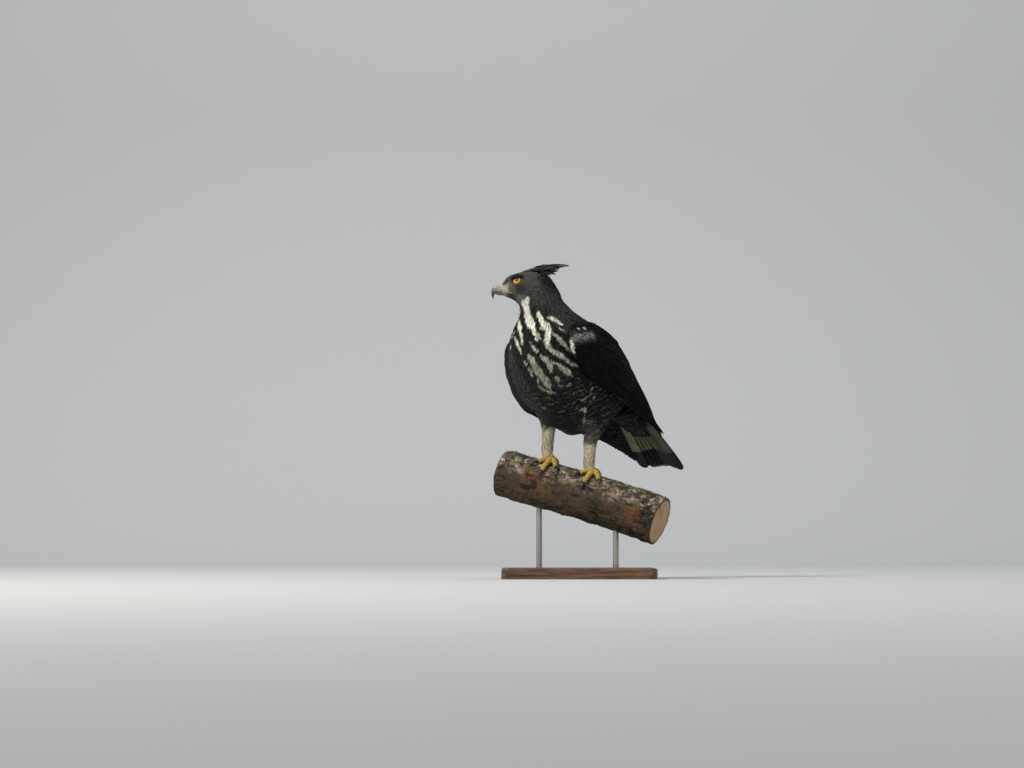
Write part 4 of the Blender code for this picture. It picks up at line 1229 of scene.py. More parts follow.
class Section(Enum):
    """Cross sections of a vane as (across, up) points, the first row of each the left edge."""

    PLUME = ((-1.0, 0.0), (-0.36, 0.9), (0.36, 0.9), (1.0, 0.0))
    QUILL = ((-1.0, 0.0), (-0.5, 0.72), (0.0, 1.0), (0.5, 0.72), (1.0, 0.0), (0.5, 0.3), (0.0, 0.5),
             (-0.5, 0.3))


@dataclass
class Vanes:
    """Many feathers of one make, one row of each array a feather.

    Args:
        paths: (N, K, 3) midlines in mm, from root to tip.
        normals: (N, K, 3) directions out of the body.
        half_widths: (N, K) half widths.
        shares: (K,) shares of the length.
        section: the cross section.
        dome: the section's height as a share of the half width.
        roll: (N,) lean about the midline, in radians.
        ragged: (N, K, 2) how far each edge is pushed out, as a share of the half width.
        marks: numbers for each feather (N,) or for each ring (N, K).
    """

    paths: Array
    normals: Array
    half_widths: Array
    shares: Array
    section: Section = Section.PLUME
    dome: float = 0.2
    roll: Array | float = 0.0
    ragged: Array | None = None
    marks: dict[str, Array] = field(default_factory=dict)

    def points(self) -> Array:
        """(N, K, M, 3) points of the vanes.

        Returns:
            The points in mm.
        """
        along = unit(np.gradient(self.paths, axis=1))
        side = unit(np.cross(self.normals, along))
        out = np.cross(along, side)
        roll = np.broadcast_to(np.asarray(self.roll, float), (len(self.paths),))[:, None, None]
        side, out = side * np.cos(roll) + out * np.sin(roll), out * np.cos(roll) - side * np.sin(roll)
        outline = np.array(self.section.value)
        push = np.zeros((*self.half_widths.shape, 2)) if self.ragged is None else self.ragged
        across = outline[:, 0] * (1 + np.where(outline[:, 0] < 0, push[..., 0:1], push[..., 1:2]))
        wide = self.half_widths[:, :, None, None]
        return (self.paths[:, :, None] + side[:, :, None] * across[..., None] * wide
                + out[:, :, None] * outline[:, 1, None] * wide * self.dome)

    def build(self, name: str, skin_map: "SkinMap", coat: CoatMap | None = None,
              patch: float = 0.003) -> Item:
        """Makes the vanes as one mesh.

        Args:
            name: the piece's name.
            skin_map: the skin that the roots sit on.
            coat: the map whose stripes and bars the feathers carry on.
            patch: the size of each vane's patch in the OFBake map.

        Returns:
            The object.
        """
        points = self.points()
        shape = feathers, rings, sides = points.shape[:3]
        item = fill_mesh(name, points, swept_faces(feathers, rings, sides, True))
        across = np.broadcast_to(np.array(self.section.value)[:, 0], shape)
        along = np.broadcast_to(self.shares[:, None], shape)
        under = np.broadcast_to(np.arange(sides) > 4, shape)
        for key, values in (("across", across), ("along", along), ("under", under)):
            give_attribute(item, key, values)
        dice = np.random.default_rng(feathers)
        shifted = (points + dice.normal(0, 0.75, (feathers, 1, 1, 3))).reshape(-1, 3)
        for key, values in self.marks.items():
            values = values[:, None] if values.ndim == 1 else values
            values = np.broadcast_to(values[:, :, None], shape)
            if key == "white" and coat is not None:
                values = np.maximum(values, coat.stripes(shifted).reshape(shape))
            give_attribute(item, key, values)
        if coat is not None:
            phase = coat.phase(shifted).reshape(shape) + dice.normal(0, 0.1, (feathers, 1, 1))
            give_attribute(item, "phase", phase)
        roots = skin_map.unwrapped(self.paths[:, 0])
        spot = np.stack((across * patch / 2, (along - 0.5) * patch), axis=-1) + roots[:, None, None]
        give_uv(item, spot.reshape(-1, 2))
        return item


def blank_marks(count: int, **others: Array) -> dict[str, Array]:
    """Marks of feathers that are plain but for the others given."""
    return {key: np.zeros(count) for key in MARKS} | others


def give_uv(item: Item, spots: Array) -> None:
    """Gives a mesh its OFBake map from one (u, v) a point.

    Args:
        item: the object.
        spots: (N, 2) places.
    """
    mesh = item.data
    corners = np.empty(len(mesh.loops), np.int32)
    mesh.loops.foreach_get("vertex_index", corners)
    layer = mesh.uv_layers.get("OFBake") or mesh.uv_layers.new(name="OFBake")
    layer.data.foreach_set("uv", np.clip(spots, 0.0, 1.0)[corners].astype(np.float32).ravel())


PLUME_SHARES = np.array((0.0, 0.2, 0.42, 0.62, 0.78, 0.9, 0.97, 1.0))
PLUME_WIDTHS = np.array((0.4, 0.8, 0.98, 1.0, 0.9, 0.68, 0.4, 0.12))
LONG_PATCH = 0.004
QUILL_SHARES = np.array((0.0, 0.08, 0.2, 0.34, 0.48, 0.62, 0.75, 0.86, 0.94, 0.985, 1.0))
QUILL_WIDTHS = np.array((0.45, 0.66, 0.84, 0.94, 1.0, 1.0, 0.96, 0.85, 0.64, 0.36, 0.12))


# Flesh

class SkinMap:
    """The finished skin, searched for its nearest point, its normals and its unwrap."""

    def __init__(self, item: Item) -> None:
        """Reads the skin's mesh and unwraps it.

        Args:
            item: the object.
        """
        mesh = item.data
        self.points = point_array(item)
        self.faces = [tuple(p.vertices) for p in mesh.polygons]
        self.tree = BVHTree.FromPolygons([Vector(p) for p in self.points], self.faces)
        normals = stored(mesh.vertices, "normal", 3)
        counts = np.array([len(f) for f in self.faces])
        self.corner_face = np.repeat(np.arange(len(self.faces)), counts)
        corners = np.concatenate([np.array(f) for f in self.faces])
        self.face_normals = self.by_face(normals[corners], counts)
        self.face_spots = self.by_face(self.unwrap(item), counts)

    def by_face(self, values: Array, counts: Array) -> Array:
        """Corner values averaged over each face.

        Args:
            values: (C, K) values.
            counts: each face's corners.

        Returns:
            (F, K) means.
        """
        found = np.zeros((len(counts), values.shape[1]))
        np.add.at(found, self.corner_face, values)
        return found / counts[:, None]

    @staticmethod
    def unwrap(item: Item) -> Array:
        """Unwraps the skin's own shape into OFBake and returns each corner's place.

        Args:
            item: the object.

        Returns:
            (C, 2) places.
        """
        item.data.uv_layers.new(name="OFBake")
        bpy.context.view_layer.objects.active = item
        item.select_set(True)
        bpy.ops.object.mode_set(mode="EDIT")
        bpy.ops.mesh.select_all(action="SELECT")
        bpy.ops.uv.smart_project(angle_limit=math.radians(66), island_margin=0.002)
        bpy.ops.object.mode_set(mode="OBJECT")
        item.select_set(False)
        return stored(item.data.uv_layers["OFBake"].data, "uv", 2)

    def nearest(self, points: Array) -> tuple[Array, Array, Array]:
        """The nearest points of the skin, their smooth normals and their faces.

        Args:
            points: (N, 3) points in mm.

        Returns:
            Points, normals, faces.
        """
        hits = [self.tree.find_nearest(Vector(point)) for point in points]
        faces = np.array([hit[2] for hit in hits])
        return np.array([hit[0] for hit in hits]), unit(self.face_normals[faces]), faces

    def unwrapped(self, points: Array) -> Array:
        """The place of each point's nearest skin on the unwrap."""
        return self.face_spots[self.nearest(points)[2]]


LEFT_ROWS = ((110, 70, 216, 99, 62, 240, 3, 9), (110, 78, 196, 80, 59, 248, 8, 13),
             (85, 82, 170, 31, 48, 249, 12, 15), (37, 80, 145, -32, 33, 223, 15, 13),
             (-23, 69, 117, -72, 20, 183, 14, 10), (-82, 52, 94, -111, 12, 139, 9, 7),
             (-128, 36, 74, -133, 13, 102, 4, 5), (-163, 26, 60, -166, 18, 72, 0.5, 2.4))
RIGHT_ROWS = ((112, 70, 228, 101, 62, 240, 3, 9), (119, 78, 206, 82, 60, 248, 8, 13),
              (108, 80, 160, 36, 48, 246, 13, 15), (74, 77, 112, -22, 34, 215, 17, 13),
              (8, 72, 88, -66, 23, 170, 17, 10), (-80, 64, 62, -114, 24, 116, 11, 7),
              (-136, 54, 37, -148, 33, 68, 5, 5), (-170, 45, 16, -172, 39, 27, 0.5, 2.4))
WING_RIM = 0.18
# Painted sunlight: the grey given to the right wing's lower front feathers, which face the sun.
RIGHT_WING_PAINTED_SUNLIGHT = 0.42


@dataclass
class WingForm:
    """The shape of one folded wing.

    Args:
        rows: its edges from wrist to tip: lower s, t, u, upper s, t, u, bulge and thickness.
        sign: 1 for the left wing and -1 for the right.
        inset: how far the flesh lies under the outer face.
        end: where the flesh ends, as a share of the wing's length.
    """

    rows: tuple[tuple[float, ...], ...]
    sign: int
    inset: float = 1.3
    end: float = 0.94

    def at(self, a: Array, b: Array) -> tuple[Array, Array, Array]:
        """Points of the outer face.

        Args:
            a: (N,) places from wrist to tip.
            b: (N,) places from the lower edge to the upper.

        Returns:
            The points, the directions out of the wing and its thickness there.
        """
        row, before, after = (spline(self.rows, a + d) for d in (0.0, -0.03, 0.03))
        flip = np.array((1.0, self.sign, 1.0))
        low, high = BIRD.place(row[:, 0:3] * flip), BIRD.place(row[:, 3:6] * flip)
        ahead, behind = (BIRD.place(r[:, 0:3] * flip) + BIRD.place(r[:, 3:6] * flip) for r in (after, before))
        along = unit(ahead - behind)
        out = unit(np.cross(along, high - low)) * self.sign
        left = BIRD.axes()[1] * self.sign
        out = np.where((out @ left)[:, None] > 0, out, -out)
        b = b[:, None]
        bulge = row[:, 6:7]
        point = low + (high - low) * b + out * bulge * 4 * b * (1 - b)
        lean = bulge * 4 * (1 - 2 * b) / np.maximum(np.linalg.norm(high - low, axis=1, keepdims=True), 1.0)
        return point, unit(out - unit(high - low) * lean), row[:, 7]

    def flesh(self, name: str) -> Item:
        """The wing's flesh as a curved shell with a thin rim.

        Args:
            name: the piece's name.

        Returns:
            The shell.
        """
        a, b = np.meshgrid(np.linspace(0, self.end, 46), np.linspace(0, 1, 16), indexing="ij")
        point, out, thick = self.at(a.ravel(), b.ravel())
        share = WING_RIM + (1 - WING_RIM) * np.sqrt(np.clip(4 * b.ravel() * (1 - b.ravel()), 0, 1))
        outer = (point - out * self.inset).reshape(46, 16, 3)
        inner = (point - out * (self.inset + thick * share)[:, None]).reshape(46, 16, 3)
        return lathe_mesh(name, np.concatenate((outer, inner[:, ::-1]), axis=1))


TAIL_PITCH = 46.5
TAIL_END = (-182.0, 16.0)
# how far up the tail, how far above and below its plane, and half how wide
TAIL_ROOT_ROWS = ((150, 9, 40, 30), (132, 6, 26, 29), (98, 4, 11, 25), (74, 1, 3, 17))


def tail_place(lateral: Array, distance: Array, height: Array) -> Array:
    """Points of the tail.

    Args:
        lateral: mm to the bird's left.
        distance: mm up the tail from its end.
        height: mm off its upper face.

    Returns:
        World positions.
    """
    pitch = math.radians(TAIL_PITCH)
    s = TAIL_END[0] + distance * math.cos(pitch) - height * math.sin(pitch)
    u = TAIL_END[1] + distance * math.sin(pitch) + height * math.cos(pitch)
    return BIRD.place(np.stack(np.broadcast_arrays(s, lateral, u), axis=-1))


TAIL_NORMAL = unit(BIRD.turn((-math.sin(math.radians(TAIL_PITCH)), 0.0, math.cos(math.radians(TAIL_PITCH)))))

BROW_LINE = ((15, 11, 5.4, 1.7), (9, 14.1, 7.9, 2.8), (3, 15.7, 9, 3.5), (-3, 16.3, 9, 3.3),
             (-11, 16.9, 7.8, 1.8))
ANKLES = ((35.5, 35, 10), (66.7, -35, 33))


def on_foot(points: Array) -> Array:
    """Which points lie on the bare toes.

    Args:
        points: (N, 3) points in mm.

    Returns:
        (N,) truth values.
    """
    local = BIRD.local(points)
    found = np.zeros(len(points), bool)
    for s, t, u in ANKLES:
        near = np.hypot(local[:, 0] - s, local[:, 1] - t) < 62
        found |= near & (local[:, 2] < u - 1.0) & (local[:, 1] * t > 0)
    return found


@dataclass
class Flesh:
    """The bird's one skin, under all its feathers.

    Args:
        voxel: the size of the mesh's cells, in mm.
        depth_share: how far the skin lies in, as a share of the coat's lift.
    """

    voxel: float = 1.9
    depth_share: float = 0.85
    body: tuple[str, ...] = ("head", "neck", "torso", "thigh_left", "thigh_right", "tarsus_left",
                             "tarsus_right")
    feet: tuple[str, ...] = ("foot_left", "foot_right")

    def copies(self, names: tuple[str, ...]) -> list[Item]:
        """Copies of nodes, with meshes of their own.

        Args:
            names: the nodes' names.

        Returns:
            The copies.
        """
        found = []
        for name in names:
            copy = frame["nodes"][name].copy()
            copy.data = copy.data.copy()
            copy.parent = None
            for key in [k for k in copy.keys() if k.startswith("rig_")]:
                del copy[key]
            bpy.context.scene.collection.objects.link(copy)
            found.append(copy)
        return found

    def fused(self, name: str, parts: list[Item], rounds: int) -> Item:
        """One closed mesh of even cells from several closed ones.

        Args:
            name: the piece's name.
            parts: the objects.
            rounds: how often it is eased.

        Returns:
            The mesh's object.
        """
        whole = joined(name, parts)
        whole.data.materials.clear()
        step = whole.modifiers.new("fuse", "REMESH")
        step.mode = "VOXEL"
        step.voxel_size = self.voxel * MM
        step.use_smooth_shade = True
        ease = whole.modifiers.new("ease", "SMOOTH")
        ease.factor = 0.5
        ease.iterations = rounds
        return baked(whole)

    def tail_root(self) -> Item:
        """The flesh at the root of the tail.

        Returns:
            The flesh.
        """
        rings = []
        angle = around(28)
        for distance, above, below, half in TAIL_ROOT_ROWS:
            middle, tall = (above - below) / 2, (above + below) / 2
            height = middle + np.cos(angle) * tall
            rings.append(tail_place(np.sin(angle) * half, np.full(len(angle), distance), height))
        return lathe_mesh("tail_root", np.array(rings))

    def brow(self, sign: int) -> Item:
        """The bony ridge that shades one eye.

        Args:
            sign: 1 for the left side and -1 for the right.

        Returns:
            The ridge.
        """
        line = spline(np.array(BROW_LINE), np.linspace(0, 1, 24))
        path = HEAD.place(line[:, :3] * (1, sign, 1))
        return lathe_mesh("brow", tube_rings(path, line[:, 3], 16, UP, 0.8))

    @staticmethod
    def mark(skin: Item, coat: CoatMap) -> None:
        """Gives the skin the coat's markings, and its feet a finish of their own.

        Args:
            skin: the skin.
            coat: the coat's map.
        """
        points = point_array(skin)
        for key, values in zip(MARKS, coat.read(points, *MARKS)):
            give_attribute(skin, key, np.maximum(values, coat.stripes(points)) if key == "white" else values)
        give_attribute(skin, "phase", coat.phase(points))
        for key, value in (("across", 0.5), ("along", 0.5), ("tone", 0.3)):
            give_attribute(skin, key, np.full(len(points), value))
        bare = on_foot(points)
        finish = [int(bare[list(face.vertices)].all()) for face in skin.data.polygons]
        skin.data.polygons.foreach_set("material_index", finish)

    def build(self, coat: CoatMap, wings: list[WingForm]) -> Item:
        """Makes the skin.

        Args:
            coat: the map that gives the coat's depth.
            wings: the wings' forms.

        Returns:
            The skin's object.
        """
        body = self.fused("body_flesh", self.copies(self.body), 10)
        points = point_array(body)
        depth = coat.read(points, "lift")[0] * self.depth_share
        points -= stored(body.data.vertices, "normal", 3) * depth[:, None]
        body.data.vertices.foreach_set("co", (points * MM).astype(np.float32).ravel())
        parts = [body, *self.copies(self.feet), self.tail_root(), self.brow(1), self.brow(-1)]
        parts += [wing.flesh("wing_flesh") for wing in wings]
        return self.fused("skin", parts, 2)


# The coat

@dataclass
class Coat:
    """The small feathers of head, neck, trunk and legs, laid over the skin.

    Args:
        skin: the skin and its unwrap.
        coat: the map of lie, sizes and markings.
        tries: how many places are tried.
        spacing: how far apart roots are, as a share of a feather's size.
        most: the most feathers in one piece.
        eye_room: how near an eye's middle none grows, in mm.
        face_end: how far forward of the eyes they grow.
        wing_room: how near a wing's flesh none grows.
        tail_room: how far up the tail they begin.
    """

    skin: SkinMap
    coat: CoatMap
    wings: list[WingForm]
    tries: int = 330000
    spacing: float = 0.37
    most: int = 3200
    eye_room: float = 7.7
    face_end: float = 26.6
    wing_room: float = 5.5
    tail_room: float = 92.0

    def scattered(self, dice: np.random.Generator) -> tuple[Array, Array]:
        """Random places over the skin, and their faces.

        Args:
            dice: the random source.

        Returns:
            The places and their faces.
        """
        faces = self.skin.faces
        corners = np.array([f if len(f) == 4 else (*f, f[2]) for f in faces])
        quads = self.skin.points[corners]
        area = np.linalg.norm(np.cross(quads[:, 2] - quads[:, 0], quads[:, 3] - quads[:, 1]), axis=1)
        chosen = dice.choice(len(faces), self.tries, p=area / area.sum())
        x, y = dice.random((2, self.tries, 1))
        quad = quads[chosen]
        near, far = quad[:, 0] * (1 - x) + quad[:, 1] * x, quad[:, 3] * (1 - x) + quad[:, 2] * x
        return near * (1 - y) + far * y, chosen

    def bare(self, points: Array) -> Array:
        """Which places carry no small feathers: feet, tail, eyes, the front of the face and wings.

        Args:
            points: (N, 3) points in mm.

        Returns:
            (N,) truth values.
        """
        local = BIRD.local(points)
        head = HEAD.local(points)
        off = on_foot(points)
        distance = ((local[:, 0] - TAIL_END[0]) * math.cos(math.radians(TAIL_PITCH))
                    + (local[:, 2] - TAIL_END[1]) * math.sin(math.radians(TAIL_PITCH)))
        off |= distance < self.tail_room
        for sign in (1, -1):
            off |= np.linalg.norm(head - (0.6, 16.0 * sign, 0.9), axis=1) < self.eye_room
        off |= head[:, 0] > self.face_end
        for wing in self.wings:
            a, b = np.meshgrid(np.linspace(0.05, wing.end, 60), np.linspace(0, 1, 20), indexing="ij")
            outer, out, _ = wing.at(a.ravel(), b.ravel())
            tree = point_tree(outer - out * (wing.inset + 1.0))
            off |= np.array([tree.find(Vector(p))[2] for p in points]) < self.wing_room
        return off

    def chosen(self, dice: np.random.Generator) -> Array:
        """Roots spread evenly, closer where feathers are small.

        Args:
            dice: the random source.

        Returns:
            (N, 3) roots.
        """
        points, faces = self.scattered(dice)
        keep = ~self.bare(points)
        points, faces = points[keep], faces[keep]
        length, half = self.coat.read(points, "length", "half_width")
        room = self.spacing * np.sqrt(length * half * 2)
        tree = point_tree(points)
        free = np.ones(len(points), bool)
        roots = []
        for i in range(len(points)):
            if not free[i]:
                continue
            roots.append(i)
            for _, index, _ in tree.find_range(Vector(points[i]), room[i]):
                free[index] = False
        roots = np.array(roots)
        normals = unit(self.skin.face_normals[faces[roots]])
        seen = [self.skin.tree.ray_cast(Vector(p + n * 1.2), Vector(n), 7.0)[0] is None
                for p, n in zip(points[roots], normals)]
        return points[roots][np.array(seen)]

    def laid(self, roots: Array, dice: np.random.Generator) -> Vanes:
        """Feathers that start at the roots and follow the skin along the coat's lie.

        Args:
            roots: (N, 3) roots.
            dice: the random source.

        Returns:
            The vanes.
        """
        count, rings = len(roots), len(PLUME_SHARES)
        length, half, lift = self.coat.read(roots, "length", "half_width", "lift")
        length = length * dice.uniform(0.85, 1.15, count)
        turn = dice.normal(0, 0.13, count)
        paths = np.empty((count, rings, 3))
        normals = np.empty((count, rings, 3))
        here, out, _ = self.skin.nearest(roots)
        for k in range(rings):
            paths[:, k], normals[:, k] = here, out
            if k == rings - 1:
                break
            way = self.coat.lie(here)
            way = unit(way - out * np.sum(way * out, axis=1, keepdims=True))
            way = spokes(turn, way, np.cross(out, way))
            step = (PLUME_SHARES[k + 1] - PLUME_SHARES[k]) * length
            here, out, _ = self.skin.nearest(here + way * step[:, None])
        puff = dice.uniform(0.8, 1.2, count)
        height = -0.4 + (lift * puff + 0.4)[:, None] * PLUME_SHARES[None] ** 0.8
        smooth = unit(normals + normals.mean(axis=1, keepdims=True) * 0.6)
        paths += smooth * height[:, :, None]
        marks = dict(zip(MARKS, self.coat.read(roots, *MARKS)))
        marks["tone"] = dice.random(count)
        marks["streak"] = marks["streak"] * dice.uniform(0.7, 1.3, count)
        ragged = dice.normal(0, 0.1, (count, rings, 2)) * PLUME_SHARES[None, :, None]
        return Vanes(paths, smooth, half[:, None] * PLUME_WIDTHS[None], PLUME_SHARES, Section.PLUME, 0.13,
                     dice.normal(0, 0.06, count), ragged, marks)

    def build(self) -> list[Item]:
        """The coat in pieces, cut from bill to tail so that none is too heavy.

        Returns:
            The pieces.
        """
        dice = np.random.default_rng(SEED)
        roots = self.chosen(dice)
        order = np.argsort(roots @ unit(np.array((1.0, 0.35, -1.6))))
        parts = []
        for number, rows in enumerate(np.array_split(order, max(1, math.ceil(len(order) / self.most)))):
            vanes = self.laid(roots[rows], dice)
            parts.append(vanes.build(f"coat_{number + 1}", self.skin, self.coat))
        LOG.info("coat: %d feathers", len(roots))
        return parts


@dataclass(frozen=True)
class Tier:
    """A tier of wing feathers.

    Args:
        start: where roots lie along the wing.
        end: where tips lie along the wing.
        count: how many.
        low: the lowest place across the wing.
        high: the highest place across the wing.
        half_width: half a feather's width.
        lift: how far the tips stand off the outer face.
        white: how pale it is; not used.
    """

    start: float
    end: float
    count: int
    low: float
    high: float
    half_width: float
    lift: float
    white: float = 0.0


SMALL_TIERS = tuple(Tier(0.0 + 0.027 * i, 0.06 + 0.031 * i, 15 + i // 2, 0.0, 0.97, 5.0 + 0.22 * i, 1.5)
                    for i in range(11))
COVERT_TIERS = (Tier(0.25, 0.385, 15, 0, 0.99, 7.4, 1.7), Tier(0.29, 0.455, 15, 0.02, 1, 8.2, 1.6),
                Tier(0.34, 0.56, 14, 0.04, 1, 8.8, 1.5))
SCAPULAR_ROWS = ((3, 1, 2.2), (9, 0.93, 2.9), (16, 0.87, 3.6))


@dataclass
class WingDress:
    """The feathers of one wing.

    Args:
        name: the name of the node that it stands for.
        form: the wing's shape.
        skin: the skin map.
        primaries: how many primaries show.
        secondaries: how many secondaries show.
        patch: the places of a pale grey patch of painted sunlight at the bend of the wing.
        sunlit_patch_reach: how far that painted sunlight reaches from them, in mm.
        painted_sunlight: how far the lower feathers of the wing's front are greyed, as painted sunlight on its
            sunward face.
    """

    name: str
    form: WingForm
    skin: SkinMap
    primaries: int = 9
    secondaries: int = 14
    patch: tuple[Triple, ...] = ((107.0, 72.0, 220.0), (101.0, 74.0, 223.0), (94.0, 76.0, 225.0),
                                                     (86.0, 77.0, 227.0), (76.0, 75.0, 229.0), (64.0, 72.0, 230.0))
    sunlit_patch_reach: float = 6.5
    painted_sunlight: float = 0.0

    def feather_rows(self, starts: Array, ends: Array, half: Array, lift: Array,
                     sink: float, roll: float, dice: np.random.Generator, grey: float) -> Vanes:
        """Feathers from (a, b) starts to (a, b) ends over the outer face.

        Args:
            starts: (N, 2) roots.
            ends: (N, 2) tips.
            half: (N,) half widths.
            lift: (N,) how high the tips stand.
            sink: how deep the roots sit.
            roll: how far each leans under its upper neighbour.
            dice: the random source.
            grey: how far the feathers turn grey.

        Returns:
            The vanes.
        """
        shares = QUILL_SHARES
        count = len(starts)
        a = starts[:, 0:1] + (ends[:, 0:1] - starts[:, 0:1]) * shares
        bend = (ends[:, 1:2] - starts[:, 1:2]) * (shares * 0.6 + shares ** 2 * 0.4)
        b = starts[:, 1:2] + bend
        point, out, _ = self.form.at(a.ravel(), b.ravel())
        point, out = point.reshape(count, -1, 3), out.reshape(count, -1, 3)
        height = lift[:, None] * shares - sink * (1 - shares) ** 2
        # Painted light: a grey patch of painted sunlight round the bend of the wing.
        lit = BIRD.place(np.array(self.patch) * (1, self.form.sign, 1))
        away = np.linalg.norm(point[:, :, None] - lit, axis=3).min(axis=2) / self.sunlit_patch_reach
        # Painted sunlight greys the lower front feathers where the wing faces the sun.
        rim = self.painted_sunlight * (1 - eased(b, 0.3, 0.75)) * (1 - eased(a, 0.3, 0.6))
        grey = grey * dice.uniform(0.3, 1.7, (count, 1)) + 0.95 * np.exp(-away ** 2) + rim
        length = np.linalg.norm(np.diff(point, axis=1), axis=2).sum(axis=1)
        marks = blank_marks(count, grey=grey, tone=dice.random(count), reach=length[:, None] * (1 - shares))
        ragged = dice.normal(0, 0.03, (count, len(shares), 2)) * shares[None, :, None]
        return Vanes(point + out * height[:, :, None], out, half[:, None] * QUILL_WIDTHS, shares, Section.QUILL,
                     0.1, -roll * self.form.sign + dice.normal(0, 0.02, count), ragged, marks)

    def flight(self, dice: np.random.Generator) -> list[Vanes]:
        """Primaries under secondaries under the longest inner feathers.

        Args:
            dice: the random source.

        Returns:
            The vanes.
        """
        k = np.linspace(0, 1, self.primaries)
        ends = np.stack((0.85 + 0.12 * np.sin(k * 2.2), 0.16 + 0.66 * k), axis=1)
        starts = np.stack((np.full(self.primaries, 0.42), 0.05 + 0.28 * k), axis=1)
        half = np.full(self.primaries, 7.6)
        outer = self.feather_rows(starts, ends, half, -0.8 + 1.6 * k, 1.2, 0.1, dice, 0.0)
        k = np.linspace(0, 1, self.secondaries)
        ends = np.stack((0.75 + 0.08 * np.sin(k * 2.6), 0.22 + 0.78 * k), axis=1)
        starts = np.stack((np.full(self.secondaries, 0.42), 0.22 + 0.78 * k), axis=1)
        ends[:, 0] += dice.uniform(-0.008, 0.008, self.secondaries)
        half = np.full(self.secondaries, 9.0)
        inner = self.feather_rows(starts, ends, half, 0.9 + 0.9 * k, 1.2, 0.12, dice, 0.0)
        return [outer, inner]

    def tiers(self, dice: np.random.Generator) -> list[Vanes]:
        """The coverts, from the bend of the wing back.

        Args:
            dice: the random source.

        Returns:
            The vanes.
        """
        found = []
        for tier in (*COVERT_TIERS[::-1], *SMALL_TIERS[::-1]):
            b = np.linspace(tier.low, tier.high, tier.count) + dice.uniform(-0.02, 0.02, tier.count)
            starts = np.stack((tier.start + dice.uniform(-0.01, 0.01, tier.count), b), axis=1)
            ends = np.stack((tier.end + dice.uniform(-0.016, 0.016, tier.count), b), axis=1)
            half = np.full(tier.count, tier.half_width)
            lift = np.full(tier.count, tier.lift)
            found.append(self.feather_rows(starts, ends, half, lift, 1.5, 0.1, dice, 0.012))
        return found

    def scapulars(self, dice: np.random.Generator) -> list[Vanes]:
        """Feathers that root on the back and lie over the wing's upper edge.

        Args:
            dice: the random source.

        Returns:
            The vanes.
        """
        found = []
        middle = BIRD.axes()[1] * -self.form.sign
        for inward, low, lift in SCAPULAR_ROWS:
            count = 15
            a = np.linspace(0.03, 0.56, count) + dice.uniform(-0.01, 0.01, count)
            root = self.form.at(a, np.full(count, 1.0))[0] + middle * inward
            tip = self.form.at(a + 0.17 + 0.08 * a, np.full(count, low))[0]
            point = root[:, None] + (tip - root)[:, None] * QUILL_SHARES[:, None]
            point, out, _ = self.skin.nearest(point.reshape(-1, 3))
            point, out = point.reshape(count, -1, 3), out.reshape(count, -1, 3)
            out = unit(out + out.mean(axis=1, keepdims=True))
            height = -0.6 + (lift + 0.6) * QUILL_SHARES ** 0.7
            marks = blank_marks(count, grey=dice.uniform(0.0, 0.02, count), tone=dice.random(count))
            found.append(Vanes(point + out * height[:, None], out, np.tile(8.0 * QUILL_WIDTHS, (count, 1)),
                               QUILL_SHARES, Section.QUILL, 0.08, dice.normal(0, 0.03, count), None, marks))
        return found

    def build(self, quill: Look, covert: Look, coat: CoatMap) -> None:
        """Makes the wing's two pieces.

        Args:
            quill: the long feathers' finish.
            covert: the coverts' finish.
            coat: the coat's map.
        """
        dice = np.random.default_rng(SEED + self.form.sign)
        parts = [v.build("part", self.skin, None, LONG_PATCH) for v in self.flight(dice)]
        long_feathers = joined(self.name + "_flight_feathers", parts)
        parts = [v.build("part", self.skin, coat) for v in (*self.tiers(dice), *self.scapulars(dice))]
        hand_over(finished(long_feathers, quill), "plumage_black", self.name)
        hand_over(finished(joined(self.name + "_coverts", parts), covert), "plumage_black")


# how many, how far apart, where they root and end up the tail, and how high there off its plane
TAIL_COVERT_ROWS = ((6, 8.0, 146, 84, 2.0, 6.0), (7, 7.5, 150, 104, 3.0, 9.5), (6, 8.4, 134, 87, -8.0, -4.6),
                    (7, 8.0, 142, 103, -14.0, -9.5), (7, 8.0, 150, 116, -22.0, -17.0))
RECTRIX_WIDTHS = np.array((0.5, 0.7, 0.84, 0.92, 0.96, 1.0, 1.0, 0.97, 0.84, 0.55, 0.2))


